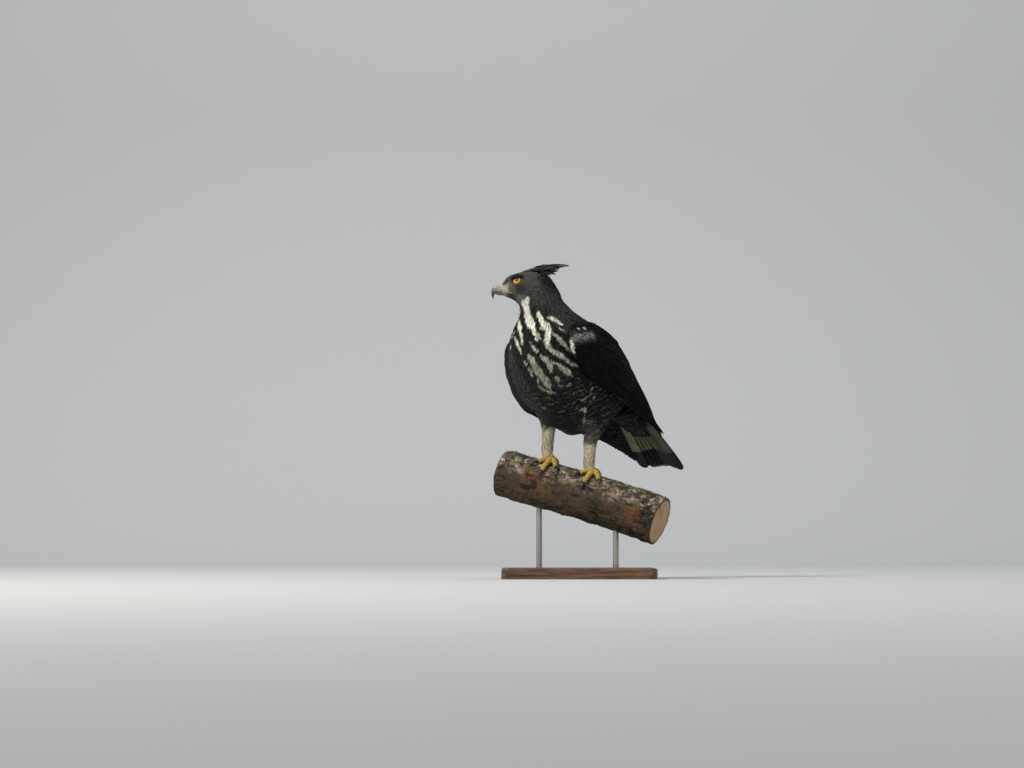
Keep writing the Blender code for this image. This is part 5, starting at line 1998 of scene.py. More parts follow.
@dataclass
class TailDress:
    """The tail's twelve feathers and its coverts.

    Args:
        skin: the skin map.
        count: how many long feathers.
        half_width: half how wide one is, in mm.
        covert_half: half how wide a covert is.
        spread: how far apart they lie at the root and at the end.
        swing: how far the tail's end is bent to the bird's left.
        root: how far up the tail they root.
        length: how far up it the fan begins.
    """

    skin: SkinMap
    count: int = 12
    half_width: float = 12.8
    covert_half: float = 8.5
    spread: tuple[float, float] = (2.4, 8.8)
    swing: float = 11.0
    root: float = 122.0
    length: float = 150.0

    def rectrices(self, dice: np.random.Generator) -> Vanes:
        """The long feathers, the middle pair on top.

        Args:
            dice: the random source.

        Returns:
            The vanes.
        """
        shares = QUILL_SHARES
        place = np.arange(self.count) - (self.count - 1) / 2
        out = np.abs(place)
        end = (2.0 + 1.6 * np.maximum(out - 3.0, 0) + dice.uniform(-0.8, 0.8, self.count)
               + 4.0 * (place == -4.5))
        distance = self.root + (end[:, None] - self.root) * shares
        gone = 1 - distance / self.length
        fan = np.maximum(gone, 0.0) ** 0.55
        near, far = self.spread
        lateral = place[:, None] * (near + (far - near) * fan) + self.swing * fan
        height = -0.55 * out[:, None] - 0.004 * lateral ** 2
        paths = tail_place(lateral, distance, height)
        normals = np.broadcast_to(TAIL_NORMAL, paths.shape)
        # tone dims the band on the outer feathers of the bird's left side: painted shade.
        marks = blank_marks(self.count, reach=distance, tone=1.0 - 0.55 * eased(place, 1.0, 4.0))
        roll = np.where(place > 0, 0.05, -0.05)
        return Vanes(paths, normals, self.half_width * np.tile(RECTRIX_WIDTHS, (self.count, 1)), shares,
                     Section.QUILL, 0.07, roll, None, marks)

    def coverts(self, dice: np.random.Generator) -> list[Vanes]:
        """Feathers that cover the root of the tail above and below.

        Args:
            dice: the random source.

        Returns:
            The vanes.
        """
        found = []
        for count, spacing, start, end, low, high in TAIL_COVERT_ROWS:
            place = np.arange(count) - (count - 1) / 2
            tip = end + dice.uniform(-4, 4, count) + np.abs(place) * 2.5
            distance = start + (tip[:, None] - start) * QUILL_SHARES
            lateral = (place[:, None] * spacing * (0.8 + 0.35 * QUILL_SHARES)
                       + self.swing * (1 - distance / self.length))
            above = 1 if low > 0 else -1
            height = low + (high - low) * QUILL_SHARES - above * 0.006 * lateral ** 2
            paths = tail_place(lateral, distance, height)
            normals = np.broadcast_to(TAIL_NORMAL * above, paths.shape)
            marks = blank_marks(count, tone=dice.random(count), bars=np.full(count, 0.0 if low > 0 else 0.3),
                                grey=np.full(count, 0.01))
            found.append(Vanes(paths, normals, np.tile(self.covert_half * QUILL_WIDTHS, (count, 1)),
                               QUILL_SHARES, Section.QUILL, 0.12, 0.0, None, marks))
        return found

    def build(self, quill: Look, covert: Look, coat: CoatMap) -> None:
        """Makes the tail's two pieces.

        Args:
            quill: the long feathers' finish.
            covert: the coverts' finish.
            coat: the coat's map.
        """
        dice = np.random.default_rng(SEED + 5)
        long_feathers = self.rectrices(dice).build("tail_feathers", self.skin, None, LONG_PATCH)
        hand_over(finished(long_feathers, quill), "plumage_black", "tail")
        coverts = joined("tail_coverts", [v.build("part", self.skin, coat) for v in self.coverts(dice)])
        hand_over(finished(coverts, covert), "plumage_black")


CREST_ROWS = (((-28, 1, 19), (-54, 1.5, 32), (-88, 2, 29), 4.4, 0.9),
              ((-28, 0, 19), (-54, 0.5, 31), (-84, 1, 28.4), 4.2, -0.8),
              ((-27, -1.5, 19), (-50, -3, 31), (-73, -3.5, 25), 3.8, -0.6),
              ((-32, 3, 18), (-52, 5, 27), (-71, 5, 21.5), 4, 0.7),
              ((-34, -3.5, 17.5), (-50, -5, 24), (-65, -5, 18.5), 4, -0.7),
              ((-36, 1.5, 16.5), (-49, 2, 19.5), (-58, 2.5, 14.5), 4, 0.5),
              ((-38, 0, 13), (-48, 0, 14.5), (-57.5, 0.5, 11.5), 4.2, 0.3),
              ((-36, 2.5, 14), (-50, 2.5, 18), (-63, 2.5, 15), 4.2, 0.8),
              ((-36, -2.5, 14.5), (-52, -2, 21), (-69, -2, 20), 4, -0.8),
              ((-26, 0, 19), (-37, 0, 28), (-49, 0.5, 31.5), 3, -0.35))
CREST_WIDTHS = np.array((0.5, 0.75, 0.95, 1.0, 0.95, 0.86, 0.74, 0.6, 0.45, 0.26, 0.1))
FOREHEAD = ((-15.0, 18.8), (-6.7, 14.8), (5.2, 11.8), (10.6, 9.6), (18.0, 5.3), (22.0, 1.5), (25.0, -2.5))


@dataclass
class CrestDress:
    """The crest at the back of the crown, with the shorter feathers that rise to it.

    Args:
        skin: the skin map.
        copies: how many feathers stand for each main one.
        plumes: how many short feathers fill the slope below it.
        brow_plumes: how many shorter ones stand over the forehead.
    """

    skin: SkinMap
    copies: int = 5
    plumes: int = 150
    brow_plumes: int = 420

    def lines(self, dice: np.random.Generator) -> tuple[Array, Array, Array, Array]:
        """Midlines in the head's frame, half widths, leans and greyness.

        Args:
            dice: the random source.

        Returns:
            The four arrays.
        """
        shares = QUILL_SHARES[:, None]
        found = []
        for root, bend, tip, half, roll in CREST_ROWS:
            for number in range(self.copies):
                loose = float(number > 0)
                size = dice.uniform(0.6, 0.95) if loose else 1.0
                shift = dice.normal(0, 1.3, 3) * loose
                start = np.array(root) + shift * (1.2, 1.6, 0.4)
                end = start + (np.array(tip) - np.array(root)) * size + dice.normal(0, 1.1, 3) * loose
                found.append((start, np.array(bend) + shift * 1.2, end, half * (1 - 0.25 * loose),
                              roll + dice.normal(0, 0.3) * loose, 0.26))
        for _ in range(self.plumes):
            back = dice.uniform(0, 1)
            start = np.array((-8.0 - 27.0 * back, dice.normal(0, 4.0), 17.4 + 1.4 * back))
            long = dice.uniform(12.0, 17.0) + 5.0 * back
            rise = dice.uniform(0.14, 0.34) + 0.3 * back
            end = start + long * np.array((-math.cos(rise), 0.0, math.sin(rise)))
            end[1] = start[1] * 0.8
            found.append((start, start + (end - start) * 0.5 + np.array((0, 0, 1.2)), end, dice.uniform(2.0, 2.8),
                          start[1] * 0.09, 0.3 * (1 - back) ** 0.5))
        for _ in range(self.brow_plumes):
            ahead = dice.uniform(-10.0, 24.0)
            aside = float(np.clip(dice.normal(0, 5.5), -10.0, 10.0))
            behind = ahead - dice.uniform(5.0, 7.5)
            low, high = np.interp((ahead, behind), *np.array(FOREHEAD).T) - 0.04 * aside ** 2
            start, end = np.array(((ahead, aside, low - 0.8), (behind, aside, high + dice.uniform(1.2, 2.8))))
            found.append((start, (start + end) / 2 + np.array((0, 0, 0.9)), end, dice.uniform(1.3, 1.8),
                          aside * 0.07, 0.28))
        line = np.array([a * (1 - shares) ** 2 + b * 2 * shares * (1 - shares) + c * shares ** 2
                         for a, b, c, *_ in found])
        return line, *(np.array([row[i] for row in found]) for i in (3, 4, 5))

    def build(self, finish: Look) -> None:
        """Makes the crest feather by feather.

        Args:
            finish: its finish.
        """
        dice = np.random.default_rng(SEED + 9)
        line, halves, rolls, grey = self.lines(dice)
        paths = HEAD.place(line)
        along = unit(np.gradient(paths, axis=1))
        normals = unit(np.cross(np.broadcast_to(HEAD.axes()[1], along.shape), along))
        normals *= np.sign(normals[..., 2:3])
        count = len(paths)
        marks = blank_marks(count, tone=dice.random(count), grey=grey, warm=np.full(count, 0.2))
        ragged = dice.normal(0, 0.08, (count, len(CREST_WIDTHS), 2)) * QUILL_SHARES[None, :, None]
        vanes = Vanes(paths, normals, halves[:, None] * CREST_WIDTHS, QUILL_SHARES, Section.QUILL, 0.22, rolls,
                      ragged, marks)
        hand_over(finished(vanes.build("crest_feathers", self.skin), finish), "plumage_black", "crest")


# Eyes and bill

@dataclass
class Eye:
    """One eye with its lids.

    Args:
        side: "left" or "right".
        sign: 1 for the left and -1 for the right.
        radius: the ball's radius.
        forward, lateral, rise: its middle in the head's frame.
        opening: half how wide the lids open.
        lid_line: how high the upper lid's edge lies over the middle.
        lid_tilt: how much lower that edge is toward the bill.
        lid: how thick the lids are.
        depth: how far round the ball is made, in radians.
        gaze: how far forward and up it looks.
    """

    side: str
    sign: int
    radius: float = 7.9
    forward: float = 0.4
    lateral: float = 11.1
    rise: float = 0.9
    opening: float = 6.7
    lid_line: float = 3.3
    lid_tilt: float = 0.3
    lid: float = 0.7
    depth: float = 1.1
    gaze: tuple[float, float] = (0.36, 0.25)

    def centre(self) -> Array:
        """Where the eye's middle is in the world."""
        return HEAD.place((self.forward, self.lateral * self.sign, self.rise))

    def axes(self) -> Array:
        """Out of the eye, across it and up it, as rows.

        Returns:
            The three directions.
        """
        out = unit(HEAD.turn((0.2, self.sign, -0.02)))
        across = unit(np.cross(out, UP))
        return np.stack((out, across, np.cross(across, out)))

    def ball(self) -> Item:
        """The eyeball's open side, with each point's distance from its axis stored.

        Returns:
            The ball.
        """
        out, across, rise = self.axes()
        lean = np.append(np.linspace(0.015, self.depth, 34), self.depth)
        radii = np.append(np.full(34, self.radius), 0.5)[:, None, None]
        radial = spokes(around(48), across, rise)
        rings = self.centre() + radii * spokes(lean[:, None], out, radial)
        item = lathe_mesh("eyeball_" + self.side, rings[:, ::-1])
        look = unit(HEAD.turn((self.gaze[0], self.sign, self.gaze[1])))
        off = np.cross(point_array(item) - self.centre(), look)
        give_attribute(item, "ring", np.linalg.norm(off, axis=1))
        return item

    def lids(self) -> Item:
        """A fleshy shell round the eye, its upper edge straight and lower toward the bill.

        Returns:
            The lids.
        """
        out, across, rise = self.axes()
        turn = around(72)
        front = np.sign(float(across @ HEAD.axes()[0]))
        slope = np.sin(turn) + self.lid_tilt * front * np.cos(turn)
        line = np.where(slope > 0, self.lid_line / np.maximum(slope, 0.05), self.opening)
        edge = np.arcsin(np.minimum(line, self.opening) / self.radius)
        leans = edge[:, None] + np.array((0.0, -0.03, 0.03, 0.11, 0.2, 0.0, 0.0, 0.06))
        leans[:, 5:7] = np.maximum(edge + 0.25, self.depth + 0.08 - 0.2 * np.sin(turn).clip(0))[:, None]
        radii = self.radius + self.lid * np.array((-0.5, 0.35, 0.95, 1.1, 0.85, 0.7, -0.9, -0.9))
        radial = spokes(turn, across, rise)
        points = self.centre() + radii[:, None] * spokes(leans, out, radial[:, None])
        faces = grid_faces(len(turn) + 1, 8, True) % (len(turn) * 8)
        return fill_mesh("eyelids_" + self.side, points, [faces[:, ::-1]])

    def build(self, iris: Look, skin: Look) -> None:
        """Makes the eyeball and its lids."""
        hand_over(finished(self.ball(), iris), "eye_amber", "eye_" + self.side)
        hand_over(finished(self.lids(), skin), "eye_amber")


UPPER_ROWS = ((25, -10.6, 180, 6, 7.8), (29, -10.8, 180, 6.1, 7.5), (33, -10.9, 182, 6.1, 7),
              (37.4, -11.6, 198, 5.6, 5.9), (39.9, -15.5, 230, 3.9, 4.2), (40.9, -20.8, 260, 2.4, 2.6),
              (40.9, -25.4, 275, 1.3, 1.4), (40, -29.1, 285, 0.3, 0.3))
LOWER_ROWS = ((25, -19.9, 180, 2.5, 7.2), (29, -19.8, 180, 2.6, 6.4), (32.5, -19.3, 178, 2.5, 4.9),
              (35.5, -18.9, 176, 1.9, 3), (37.2, -18.6, 175, 0.7, 1.1))
GAPE_LINE = ((29, 6.9, -17.2), (24, 8.9, -17.3), (18, 11.4, -17.7), (12, 14, -18.8), (9.5, 15.2, -19.8))


@dataclass
class Bill:
    """The bill's two halves, its cere, nostrils and the corner of the mouth.

    Args:
        count: points round each half.
        steps: rings along it.
        nostril: where the nostril is, as h and v in the head's frame.
    """

    count: int = 40
    steps: int = 44
    nostril: tuple[float, float] = (31.0, -9.2)

    def half(self, name: str, rows: tuple[tuple[float, ...], ...], ridge: float) -> Item:
        """One half of the bill from rows of h, v, heading, half height and half width.

        Args:
            name: the piece's name.
            rows: its rows.
            ridge: how keen its ridge is.

        Returns:
            The half.
        """
        table = spline(np.array(rows), np.linspace(0, 1, self.steps))
        angle = np.radians(table[:, 2])
        along = HEAD.turn(np.stack((-np.cos(angle), np.zeros_like(angle), np.sin(angle)), axis=1))
        left = HEAD.axes()[1]
        rise = unit(np.cross(along, left))
        rise = np.where((rise @ (UP + HEAD.axes()[0]))[:, None] > 0, rise, -rise)
        centre = HEAD.place(np.stack((table[:, 0], np.zeros(len(table)), table[:, 1]), axis=1))
        lap = around(self.count)
        wide = np.sign(np.sin(lap)) * np.abs(np.sin(lap)) ** 0.85
        tall = np.cos(lap) * (1 + ridge * np.maximum(np.cos(lap), 0) ** 8)
        rings = (centre[:, None] + left * (wide[None, :, None] * table[:, 4, None, None])
                 + rise[:, None] * (tall[None, :, None] * table[:, 3, None, None]))
        item = lathe_mesh(name, rings)
        give_attribute(item, "reach", np.repeat(np.linspace(0, 1, self.steps), self.count))
        return item

    def cere(self) -> Item:
        """The soft band over the root of the upper half, with a dent for each nostril.

        Returns:
            The band.
        """
        table = spline(np.array(UPPER_ROWS), np.linspace(0, 0.29, 26))
        left = HEAD.axes()[1]
        centre = HEAD.place(np.stack((table[:, 0], np.zeros(len(table)), table[:, 1]), axis=1))
        lap = around(64)
        swell = 0.55 * np.sqrt(np.clip((table[-1, 0] + 0.01 - table[:, 0]) / 4.0, 0, 1))
        rings = (centre[:, None] + left * (np.sin(lap)[None, :, None] * (table[:, 4] + swell)[:, None, None])
                 + UP * (np.cos(lap)[None, :, None] * (table[:, 3] + swell)[:, None, None]))
        local = HEAD.local(rings.reshape(-1, 3))
        away = np.hypot((local[:, 0] - self.nostril[0]) / 1.9, (local[:, 2] - self.nostril[1]) / 1.25)
        dent = 1 - eased(away, 0.55, 1.15)
        local[:, 1] -= np.sign(local[:, 1]) * dent * 1.5
        item = lathe_mesh("cere", HEAD.place(local).reshape(rings.shape))
        give_attribute(item, "nostril", dent)
        return item

    def gape(self, sign: int) -> Item:
        """The soft edge of the mouth on one side.

        Args:
            sign: 1 for the left side and -1 for the right.

        Returns:
            The edge.
        """
        line = spline(np.array(GAPE_LINE), np.linspace(0, 1, 26)) * (1, sign, 1)
        radii = np.sqrt(np.clip(np.linspace(0.35, 1.6, 26), 0, 1)) * (1 - 0.5 * np.linspace(0, 1, 26) ** 4)
        return lathe_mesh("mouth_edge", tube_rings(HEAD.place(line), radii, 14, UP, 0.75))

    def build(self, horn: Look, dark_horn: Look, cere: Look,
              gape: Look) -> None:
        """Makes the pieces of the bill.

        Args:
            horn: the horn's finish.
            dark_horn: the lower half's finish.
            cere: the cere's finish.
            gape: the finish of the mouth's edges.
        """
        upper = self.half("upper_bill_horn", UPPER_ROWS, 0.08)
        lower = self.half("lower_bill_horn", LOWER_ROWS, 0.0)
        hand_over(finished(upper, horn), "bill_horn", "bill_upper")
        hand_over(finished(lower, dark_horn), "bill_horn", "bill_lower")
        hand_over(finished(self.cere(), cere), "bill_horn")
        edges = joined("mouth_edges", [self.gape(1), self.gape(-1)])
        hand_over(finished(edges, gape), "bill_horn")


# Perch

BRANCH_ROWS = ((-126, 41.5, 179), (-90, 26.5, 168.5), (-52.6, 11, 157.5), (-17, -4, 147),
               (18.7, -18.8, 136.5), (60, -36, 123), (100, -52, 109), (134, -66, 96))
BRANCH_RADIUS = 41.0
BRANCH_LENGTH = 290.0
MOST_RELIEF = 2.2
CUT_SHRINKS = (0.985, *np.linspace(0.9, 0.04, 14))
FOOT_X = (17.4, -52.6)


@dataclass
class Perch:
    """The cut length of branch with its bark, moss and rootlets.

    Args:
        steps: rings along it.
        count: points round it.
        moss_blades: the most blades of moss.
    """

    steps: int = 300
    count: int = 230
    moss_blades: int = 5200

    @staticmethod
    def line(share: Array) -> tuple[Array, Array, Array, Array]:
        """The branch's middle line with its directions along, up and to the front.

        Args:
            share: (N,) places along it, from 0 to 1.

        Returns:
            The four arrays.
        """
        path, before, after = (spline(BRANCH_ROWS, share + d) for d in (0.0, -0.01, 0.01))
        along = unit(after - before)
        front = unit(np.cross(along, UP))
        return path, along, unit(np.cross(front, along)), front

    @staticmethod
    def relief(share: Array, angle: Array) -> Array:
        """The bark's height over the plain round branch, in mm, at places along and round it.

        Args:
            share: places along the branch.
            angle: angles round the branch.

        Returns:
            Heights in mm.
        """
        y, z = np.cos(angle).ravel() * BRANCH_RADIUS, np.sin(angle).ravel() * BRANCH_RADIUS
        spots = np.stack((share.ravel() * BRANCH_LENGTH, y, z), axis=1)
        bent = spots + 5.0 * (layered(spots / 16.0, 3.0, 3)[:, None] - 0.5)
        long_cracks = np.abs(layered(bent / (30.0, 8.5, 8.5), 11.0, 2) - 0.5) * 7.0
        cross_cracks = np.abs(layered(bent / (9.0, 17.0, 17.0), 23.0, 2) - 0.5) * 9.0
        plates = np.clip(np.minimum(long_cracks, cross_cracks + 0.25), 0, 1) ** 0.7
        lumps = layered(spots / 21.0, 37.0, 5) - 0.5
        rough = layered(spots / 3.4, 51.0, 3) - 0.5
        return (2.4 * plates - 2.2 + 5.5 * lumps + 1.7 * rough).reshape(share.shape)

    def bark(self) -> Item:
        """The branch itself.

        Returns:
            The bark.
        """
        share = np.linspace(0, 1, self.steps)
        angle = around(self.count)
        path, along, rise, front = self.line(share)
        grid_share, grid_angle = np.meshgrid(share, angle, indexing="ij")
        height = self.relief(grid_share, grid_angle)
        near = np.min(np.abs(path[:, 0:1] - np.array(FOOT_X)), axis=1)
        calm = eased(near, 22.0, 48.0)[:, None] * 0.9 + 0.1
        calm = np.maximum(calm, eased(np.cos(grid_angle), 0.0, -0.6))
        radius = BRANCH_RADIUS + np.minimum(height * calm, 2.4) - 0.3
        out = spokes(grid_angle, rise[:, None], front[:, None])
        rings = path[:, None] + out * radius[..., None]
        caps = []
        for end, way in ((0, -1), (-1, 1)):
            for shrink in CUT_SHRINKS:
                caps.append(path[end] + out[end] * (radius[end] * shrink)[:, None] + along[end] * way * 0.3)
        depth = len(CUT_SHRINKS)
        rings = np.concatenate((np.array(caps[depth - 1::-1]), rings, np.array(caps[depth:])))
        item = lathe_mesh("branch_bark", rings)
        cut = np.zeros(rings.shape[:2])
        cut[:depth] = cut[-depth:] = 1.0
        pad = ((depth, depth), (0, 0))
        crack = np.stack((np.cos(angle) * 2.6, np.sin(angle) * 2.6, np.zeros(len(angle))), axis=1)
        middle = np.concatenate((np.repeat(path[:1], depth, 0), path, np.repeat(path[-1:], depth, 0)))
        for key, values in (("check", np.tile(eased(layered(crack, 71.0, 3), 0.7, 0.77), (len(rings), 1))),
                            ("cut", cut), ("depth", np.pad(eased(height, -2.8, 1.2), pad, mode="edge")),
                            ("top", np.pad(np.cos(grid_angle), pad, mode="edge")),
                            ("ring", np.linalg.norm(rings - middle[:, None], axis=2))):
            give_attribute(item, key, values)
        return item

    def moss(self) -> Item:
        """Short tufts of moss on the upper side, in patches.

        Returns:
            The moss.
        """
        dice = np.random.default_rng(SEED + 21)
        share = dice.uniform(0.02, 0.98, self.moss_blades * 3)
        angle = dice.normal(0.1, 0.75, self.moss_blades * 3)
        patch = np.sin(share * 23.0) + np.sin(share * 9.0 + angle * 2.5) + np.sin(angle * 5.0 + share * 40.0) * 0.6
        path, _, rise, front = self.line(share)
        near = np.min(np.abs(path[:, 0:1] - np.array(FOOT_X)), axis=1)
        keep = np.where((patch > 0.35) & ((near > 30) | (angle < -0.9) | (angle > 1.3)))[0][:self.moss_blades]
        share, angle, path, rise, front = (v[keep] for v in (share, angle, path, rise, front))
        out = spokes(angle, rise, front)
        relief = np.minimum(self.relief(share, angle), MOST_RELIEF)
        root = path + out * (BRANCH_RADIUS + relief - 1.0)[:, None]
        way = unit(out + dice.normal(0, 0.55, root.shape))
        tall = dice.uniform(1.8, 4.2, len(root))
        side = unit(np.cross(way, dice.normal(0, 1, root.shape))) * 0.35
        other = np.cross(way, side)
        corners = np.stack((root + side, root + other, root - side, root + way * tall[:, None]), axis=1)
        start = (np.arange(len(root)) * 4)[:, None, None]
        faces = np.array(((0, 1, 3), (1, 2, 3), (2, 0, 3), (0, 2, 1)))[None] + start
        return fill_mesh("branch_moss", corners, [faces.reshape(-1, 3)])

    def rootlets(self) -> Item:
        """Thin rootlets that creep over the bark round the bird's feet.

        Returns:
            The rootlets.
        """
        dice = np.random.default_rng(SEED + 31)
        parts = []
        for number in range(15):
            start = dice.uniform(0.2, 0.75)
            wide = dice.uniform(0.05, 0.16) * dice.choice((-1, 1))
            share = start + wide * np.linspace(0, 1, 40) + 0.012 * np.sin(np.linspace(0, 9, 40) + number)
            first = dice.uniform(-0.6, 0.4)
            angle = (first + dice.uniform(0.8, 2.0) * np.linspace(0, 1, 40)
                     + 0.12 * np.sin(np.linspace(0, 12, 40) + number))
            path, _, rise, front = self.line(share)
            out = spokes(angle, rise, front)
            bark = np.minimum(self.relief(share, angle), MOST_RELIEF)
            line = path + out * (BRANCH_RADIUS + bark * 0.6 + 0.1)[:, None]
            for _ in range(3):
                line[1:-1] = (line[:-2] + line[1:-1] * 2 + line[2:]) / 4
            radii = np.linspace(1.15, 0.35, 40) * dice.uniform(0.6, 1.1)
            parts.append(lathe_mesh("rootlet", tube_rings(line, radii, 8, out)))
        return joined("branch_rootlets", parts)

    def build(self, bark: Look, moss: Look, root: Look) -> None:
        """Makes the branch and what grows on it.

        Args:
            bark: the bark's finish.
            moss: the moss's finish.
            root: the rootlets' finish.
        """
        for item, finish, nodes in ((self.bark(), bark, ("perch_branch",)), (self.moss(), moss, ()),
                                    (self.rootlets(), root, ())):
            hand_over(finished(item, finish), "bark", *nodes)


TOES = ((180, 25), (-36, 29), (-2, 42), (34, 33))


@dataclass
class Scutes:
    """The hard plates over the upper side of the toes.

    Args:
        perch: the branch that the toes lie on.
        pitch: how far apart the plates are along a toe.
        arc: how far round the toe a plate reaches, to each side of its top, in degrees.
        radii: a toe's radius at its root and at its end.
        clear: how far the toe lies off the branch.
        turn: how far round the branch the feet stand, in degrees.
    """

    perch: Perch
    pitch: float = 2.3
    arc: float = 74.0
    radii: tuple[float, float] = (4.9, 3.6)
    clear: float = 0.2
    turn: float = 4.0

    def on_bark(self, x: float, heading: float, gone: Array) -> tuple[Array, Array]:
        """Points of a toe's middle line and the directions out of the bark there.

        Args:
            x: where the foot stands.
            heading: which way the toe points, in degrees.
            gone: how far along the toe, in mm.

        Returns:
            The points and the directions.
        """
        angle = math.radians(heading)
        shares = np.linspace(0, 1, 400)
        share = np.interp(x + gone * math.sin(angle) * 0.9, self.perch.line(shares)[0][:, 0], shares)
        path, _, rise, front = self.perch.line(share)
        round_by = math.radians(self.turn) + gone * math.cos(angle) / (BRANCH_RADIUS + self.radii[0])
        out = spokes(round_by, rise, front)
        return path + out * BRANCH_RADIUS, out

    def plates(self, x: float, heading: float, reach: float) -> Array:
        """(N, K, 4, 3) rings of one toe's plates.

        Args:
            x: where the foot stands.
            heading: which way the toe points, in degrees.
            reach: the toe's length.

        Returns:
            The rings.
        """
        lap = np.radians(np.linspace(-self.arc, self.arc, 13))
        middle = np.arange(7.5, reach - 1.0, self.pitch)
        rims = []
        for push, lift in ((-0.45, -0.5), (-0.45, 0.12), (0.42, 0.5), (0.5, -0.3)):
            gone = middle + push * self.pitch
            radius = np.interp(gone, (0, reach), self.radii)
            root, out = self.on_bark(x, heading, gone)
            way = unit(self.on_bark(x, heading, gone + 0.5)[0] - root)
            centre = root + out * (radius + self.clear)[:, None]
            spoke = spokes(lap, out[:, None], np.cross(out, way)[:, None])
            rims.append(centre[:, None] + spoke * (radius + lift)[:, None, None])
        return np.stack(rims, axis=2)

    def build(self, finish: Look) -> None:
        """Makes the plates of both feet."""
        rings = np.concatenate([self.plates(x, heading, reach) for x in FOOT_X for heading, reach in TOES])
        hand_over(finished(fill_mesh("toe_scutes", rings, swept_faces(*rings.shape[:3])), finish), "toe_skin")


# Studio

@dataclass(frozen=True)
class Paper(Finish):
    """The studio's plain pale paper."""

    colour: Triple = (0.57, 0.58, 0.59)

    def paint(self, sheet: Sheet, _: None) -> None:
        """Gives the paper its colour."""
        sheet.shade(self.colour)


@dataclass
class Studio:
    """Camera, floor and lights.

    Args:
        eye: where the camera stands, in metres.
        target: what it looks at, in metres.
        lens: its focal length for a 36 mm sensor.
    """

    eye: Triple = (-0.1122, -4.2, 0.060)
    target: Triple = (-0.1122, 0.0, 0.3298)
    lens: float = 87.04
    paper: Paper = Paper("studio_paper", 0.95, 0.1)

    @staticmethod
    def aimed(name: str, data: bpy.types.ID, place: Triple, aim: Triple) -> Item:
        """Adds a camera or light that faces its aim.

        Args:
            name: the piece's name.
            data: the camera's or light's data.
            place: where it is.
            aim: what it faces.

        Returns:
            Its object.
        """
        item = bpy.data.objects.new(name, data)
        bpy.context.scene.collection.objects.link(item)
        item.location = place
        item.rotation_euler = (Vector(aim) - Vector(place)).to_track_quat("-Z", "Y").to_euler()
        return item

    def camera(self) -> None:
        """Sets the camera at the photograph's framing."""
        data = bpy.data.cameras.new("camera")
        data.lens = self.lens
        data.sensor_width = 36.0
        data.clip_start = 0.05
        data.clip_end = 60.0
        bpy.context.scene.camera = self.aimed("camera", data, self.eye, self.target)

    def light(self, name: str, place: Triple, aim: Triple, size: float, power: float, colour: Triple) -> None:
        """Adds a soft square light that faces its aim.

        Args:
            name: its name.
            place: where it is, in metres.
            aim: the point that it faces.
            size: the length of its side.
            power: its power in watts.
            colour: its colour.
        """
        data = bpy.data.lights.new(name, "AREA")
        data.size = size
        data.energy = power
        data.color = colour
        self.aimed(name, data, place, aim)

    def floor(self) -> None:
        """A pale floor that rises behind into a plain backdrop."""
        turn = np.linspace(0, math.pi / 2, 24)
        run = np.concatenate(([-9000.0, 0.0], 2500.0 + 1500.0 * np.sin(turn), [4000.0]))
        rise = np.concatenate(([0.0, 0.0], 1500.0 * (1 - np.cos(turn)), [9000.0]))
        wide = np.array((-9000.0, 9000.0))
        points = np.stack(np.broadcast_arrays(wide, run[:, None], rise[:, None]), axis=-1)
        item = fill_mesh("studio_floor", points, [grid_faces(len(run), 2, False)])
        finished(item, self.paper.build(None))

    def build(self) -> None:
        """Makes camera, floor, lights and the room's soft light."""
        self.camera()
        self.floor()
        aim = (0.0, 0.0, 0.35)
        self.light("sun_side", (-2.2, -1.7, 2.5), aim, 0.7, 92.0, (1.0, 0.95, 0.86))
        self.light("sky_panel", (0.2, 0.3, 5.0), aim, 5.0, 26.0, (0.95, 0.97, 1.0))
        self.light("backdrop_wash", (0.0, 1.2, 4.6), (0.0, 4.0, 0.9), 4.0, 52.0, (0.98, 0.99, 1.0))
        world = bpy.data.worlds.new("studio_air")
        world.use_nodes = True
        air = world.node_tree.nodes["Background"]
        air.inputs["Color"].default_value = (0.86, 0.88, 0.90, 1.0)
        air.inputs["Strength"].default_value = 0.55
        bpy.context.scene.world = world
        bpy.context.scene.view_settings.view_transform = "Standard"


@dataclass
class Stand:
    """The base and rods, whose own shapes stay."""

    rods: tuple[str, ...] = ("stand_rod_1", "stand_rod_2")
    base: str = "stand_base"

    def build(self, metal: Look, wood: Look) -> None:
        """Gives the base and rods their finishes.

        Args:
            metal: the rods' finish.
            wood: the base's finish.
        """
        for name, finish in (*((rod, metal) for rod in self.rods), (self.base, wood)):
            finished(frame["nodes"][name], finish)
            LOG.info("%s: finished", name)


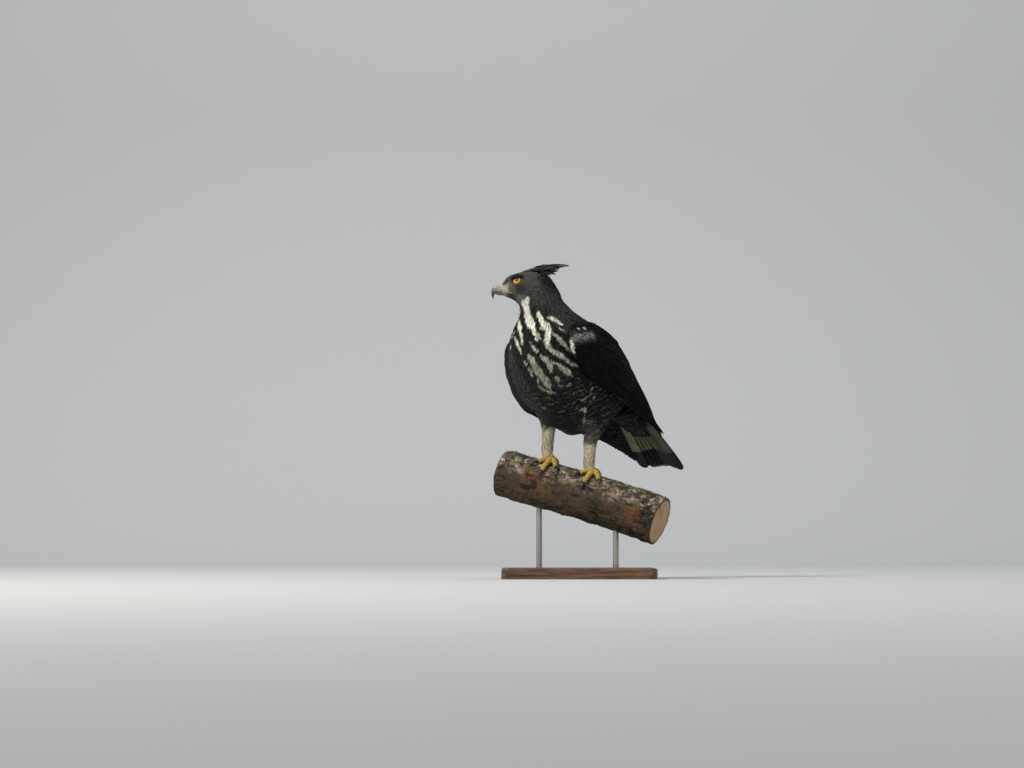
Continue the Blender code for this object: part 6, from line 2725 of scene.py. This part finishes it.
@dataclass
class Claws:
    """The eight claws, whose own shapes are rounded and finished."""

    sides: tuple[str, ...] = ("left", "right")

    def build(self, horn: Look) -> None:
        """Rounds each claw and gives it its horn.

        Args:
            horn: the horn's finish.
        """
        for side in self.sides:
            for number in range(1, 5):
                item = finished(frame["nodes"][f"claw_{side}_{number}"], horn)
                weld = item.modifiers.new("closed", "WELD")
                weld.merge_threshold = 1e-5
                step = item.modifiers.new("rounded", "SUBSURF")
                step.levels = step.render_levels = 2
        LOG.info("claws: finished")


def main() -> None:
    """Builds the model's looks in order."""
    logging.basicConfig(level=logging.INFO, format="%(message)s")
    effects = Effects()
    looks = {finish.name: finish.build(effects) for finish in FINISHES}
    coat_map = CoatMap(ZONES, STRIPES)
    wings = [WingForm(LEFT_ROWS, 1), WingForm(RIGHT_ROWS, -1)]
    skin = finished(Flesh().build(coat_map, wings), looks["body_plumage"], looks["toe_skin"])
    Flesh.mark(skin, coat_map)
    skin_map = SkinMap(skin)
    hand_over(skin, "plumage_breast", *Flesh.body, *Flesh.feet)
    for piece in Coat(skin_map, coat_map, wings).build():
        hand_over(finished(piece, looks["body_plumage"]), "plumage_breast")
    covert = looks["covert_plumage"]
    for name, form, rim in zip(("wing_left", "wing_right"), wings, (0.0, RIGHT_WING_PAINTED_SUNLIGHT)):
        WingDress(name, form, skin_map, painted_sunlight=rim).build(looks["flight_plumage"], covert, coat_map)
    TailDress(skin_map).build(looks["tail_plumage"], covert, coat_map)
    CrestDress(skin_map).build(looks["crest_plumage"])
    for side, sign in (("left", 1), ("right", -1)):
        Eye(side, sign).build(looks["iris"], looks["lid_skin"])
    Bill().build(*(looks[name] for name in ("upper_bill_horn", "lower_bill_horn", "cere_skin", "gape_skin")))
    Claws().build(looks["claw_horn"])
    perch = Perch()
    perch.build(looks["bark"], looks["moss"], looks["rootlet_bark"])
    Scutes(perch).build(looks["scute_skin"])
    Stand().build(looks["brushed_metal"], looks["oiled_wood"])
    Studio().build()


if __name__ == "__main__":
    main()
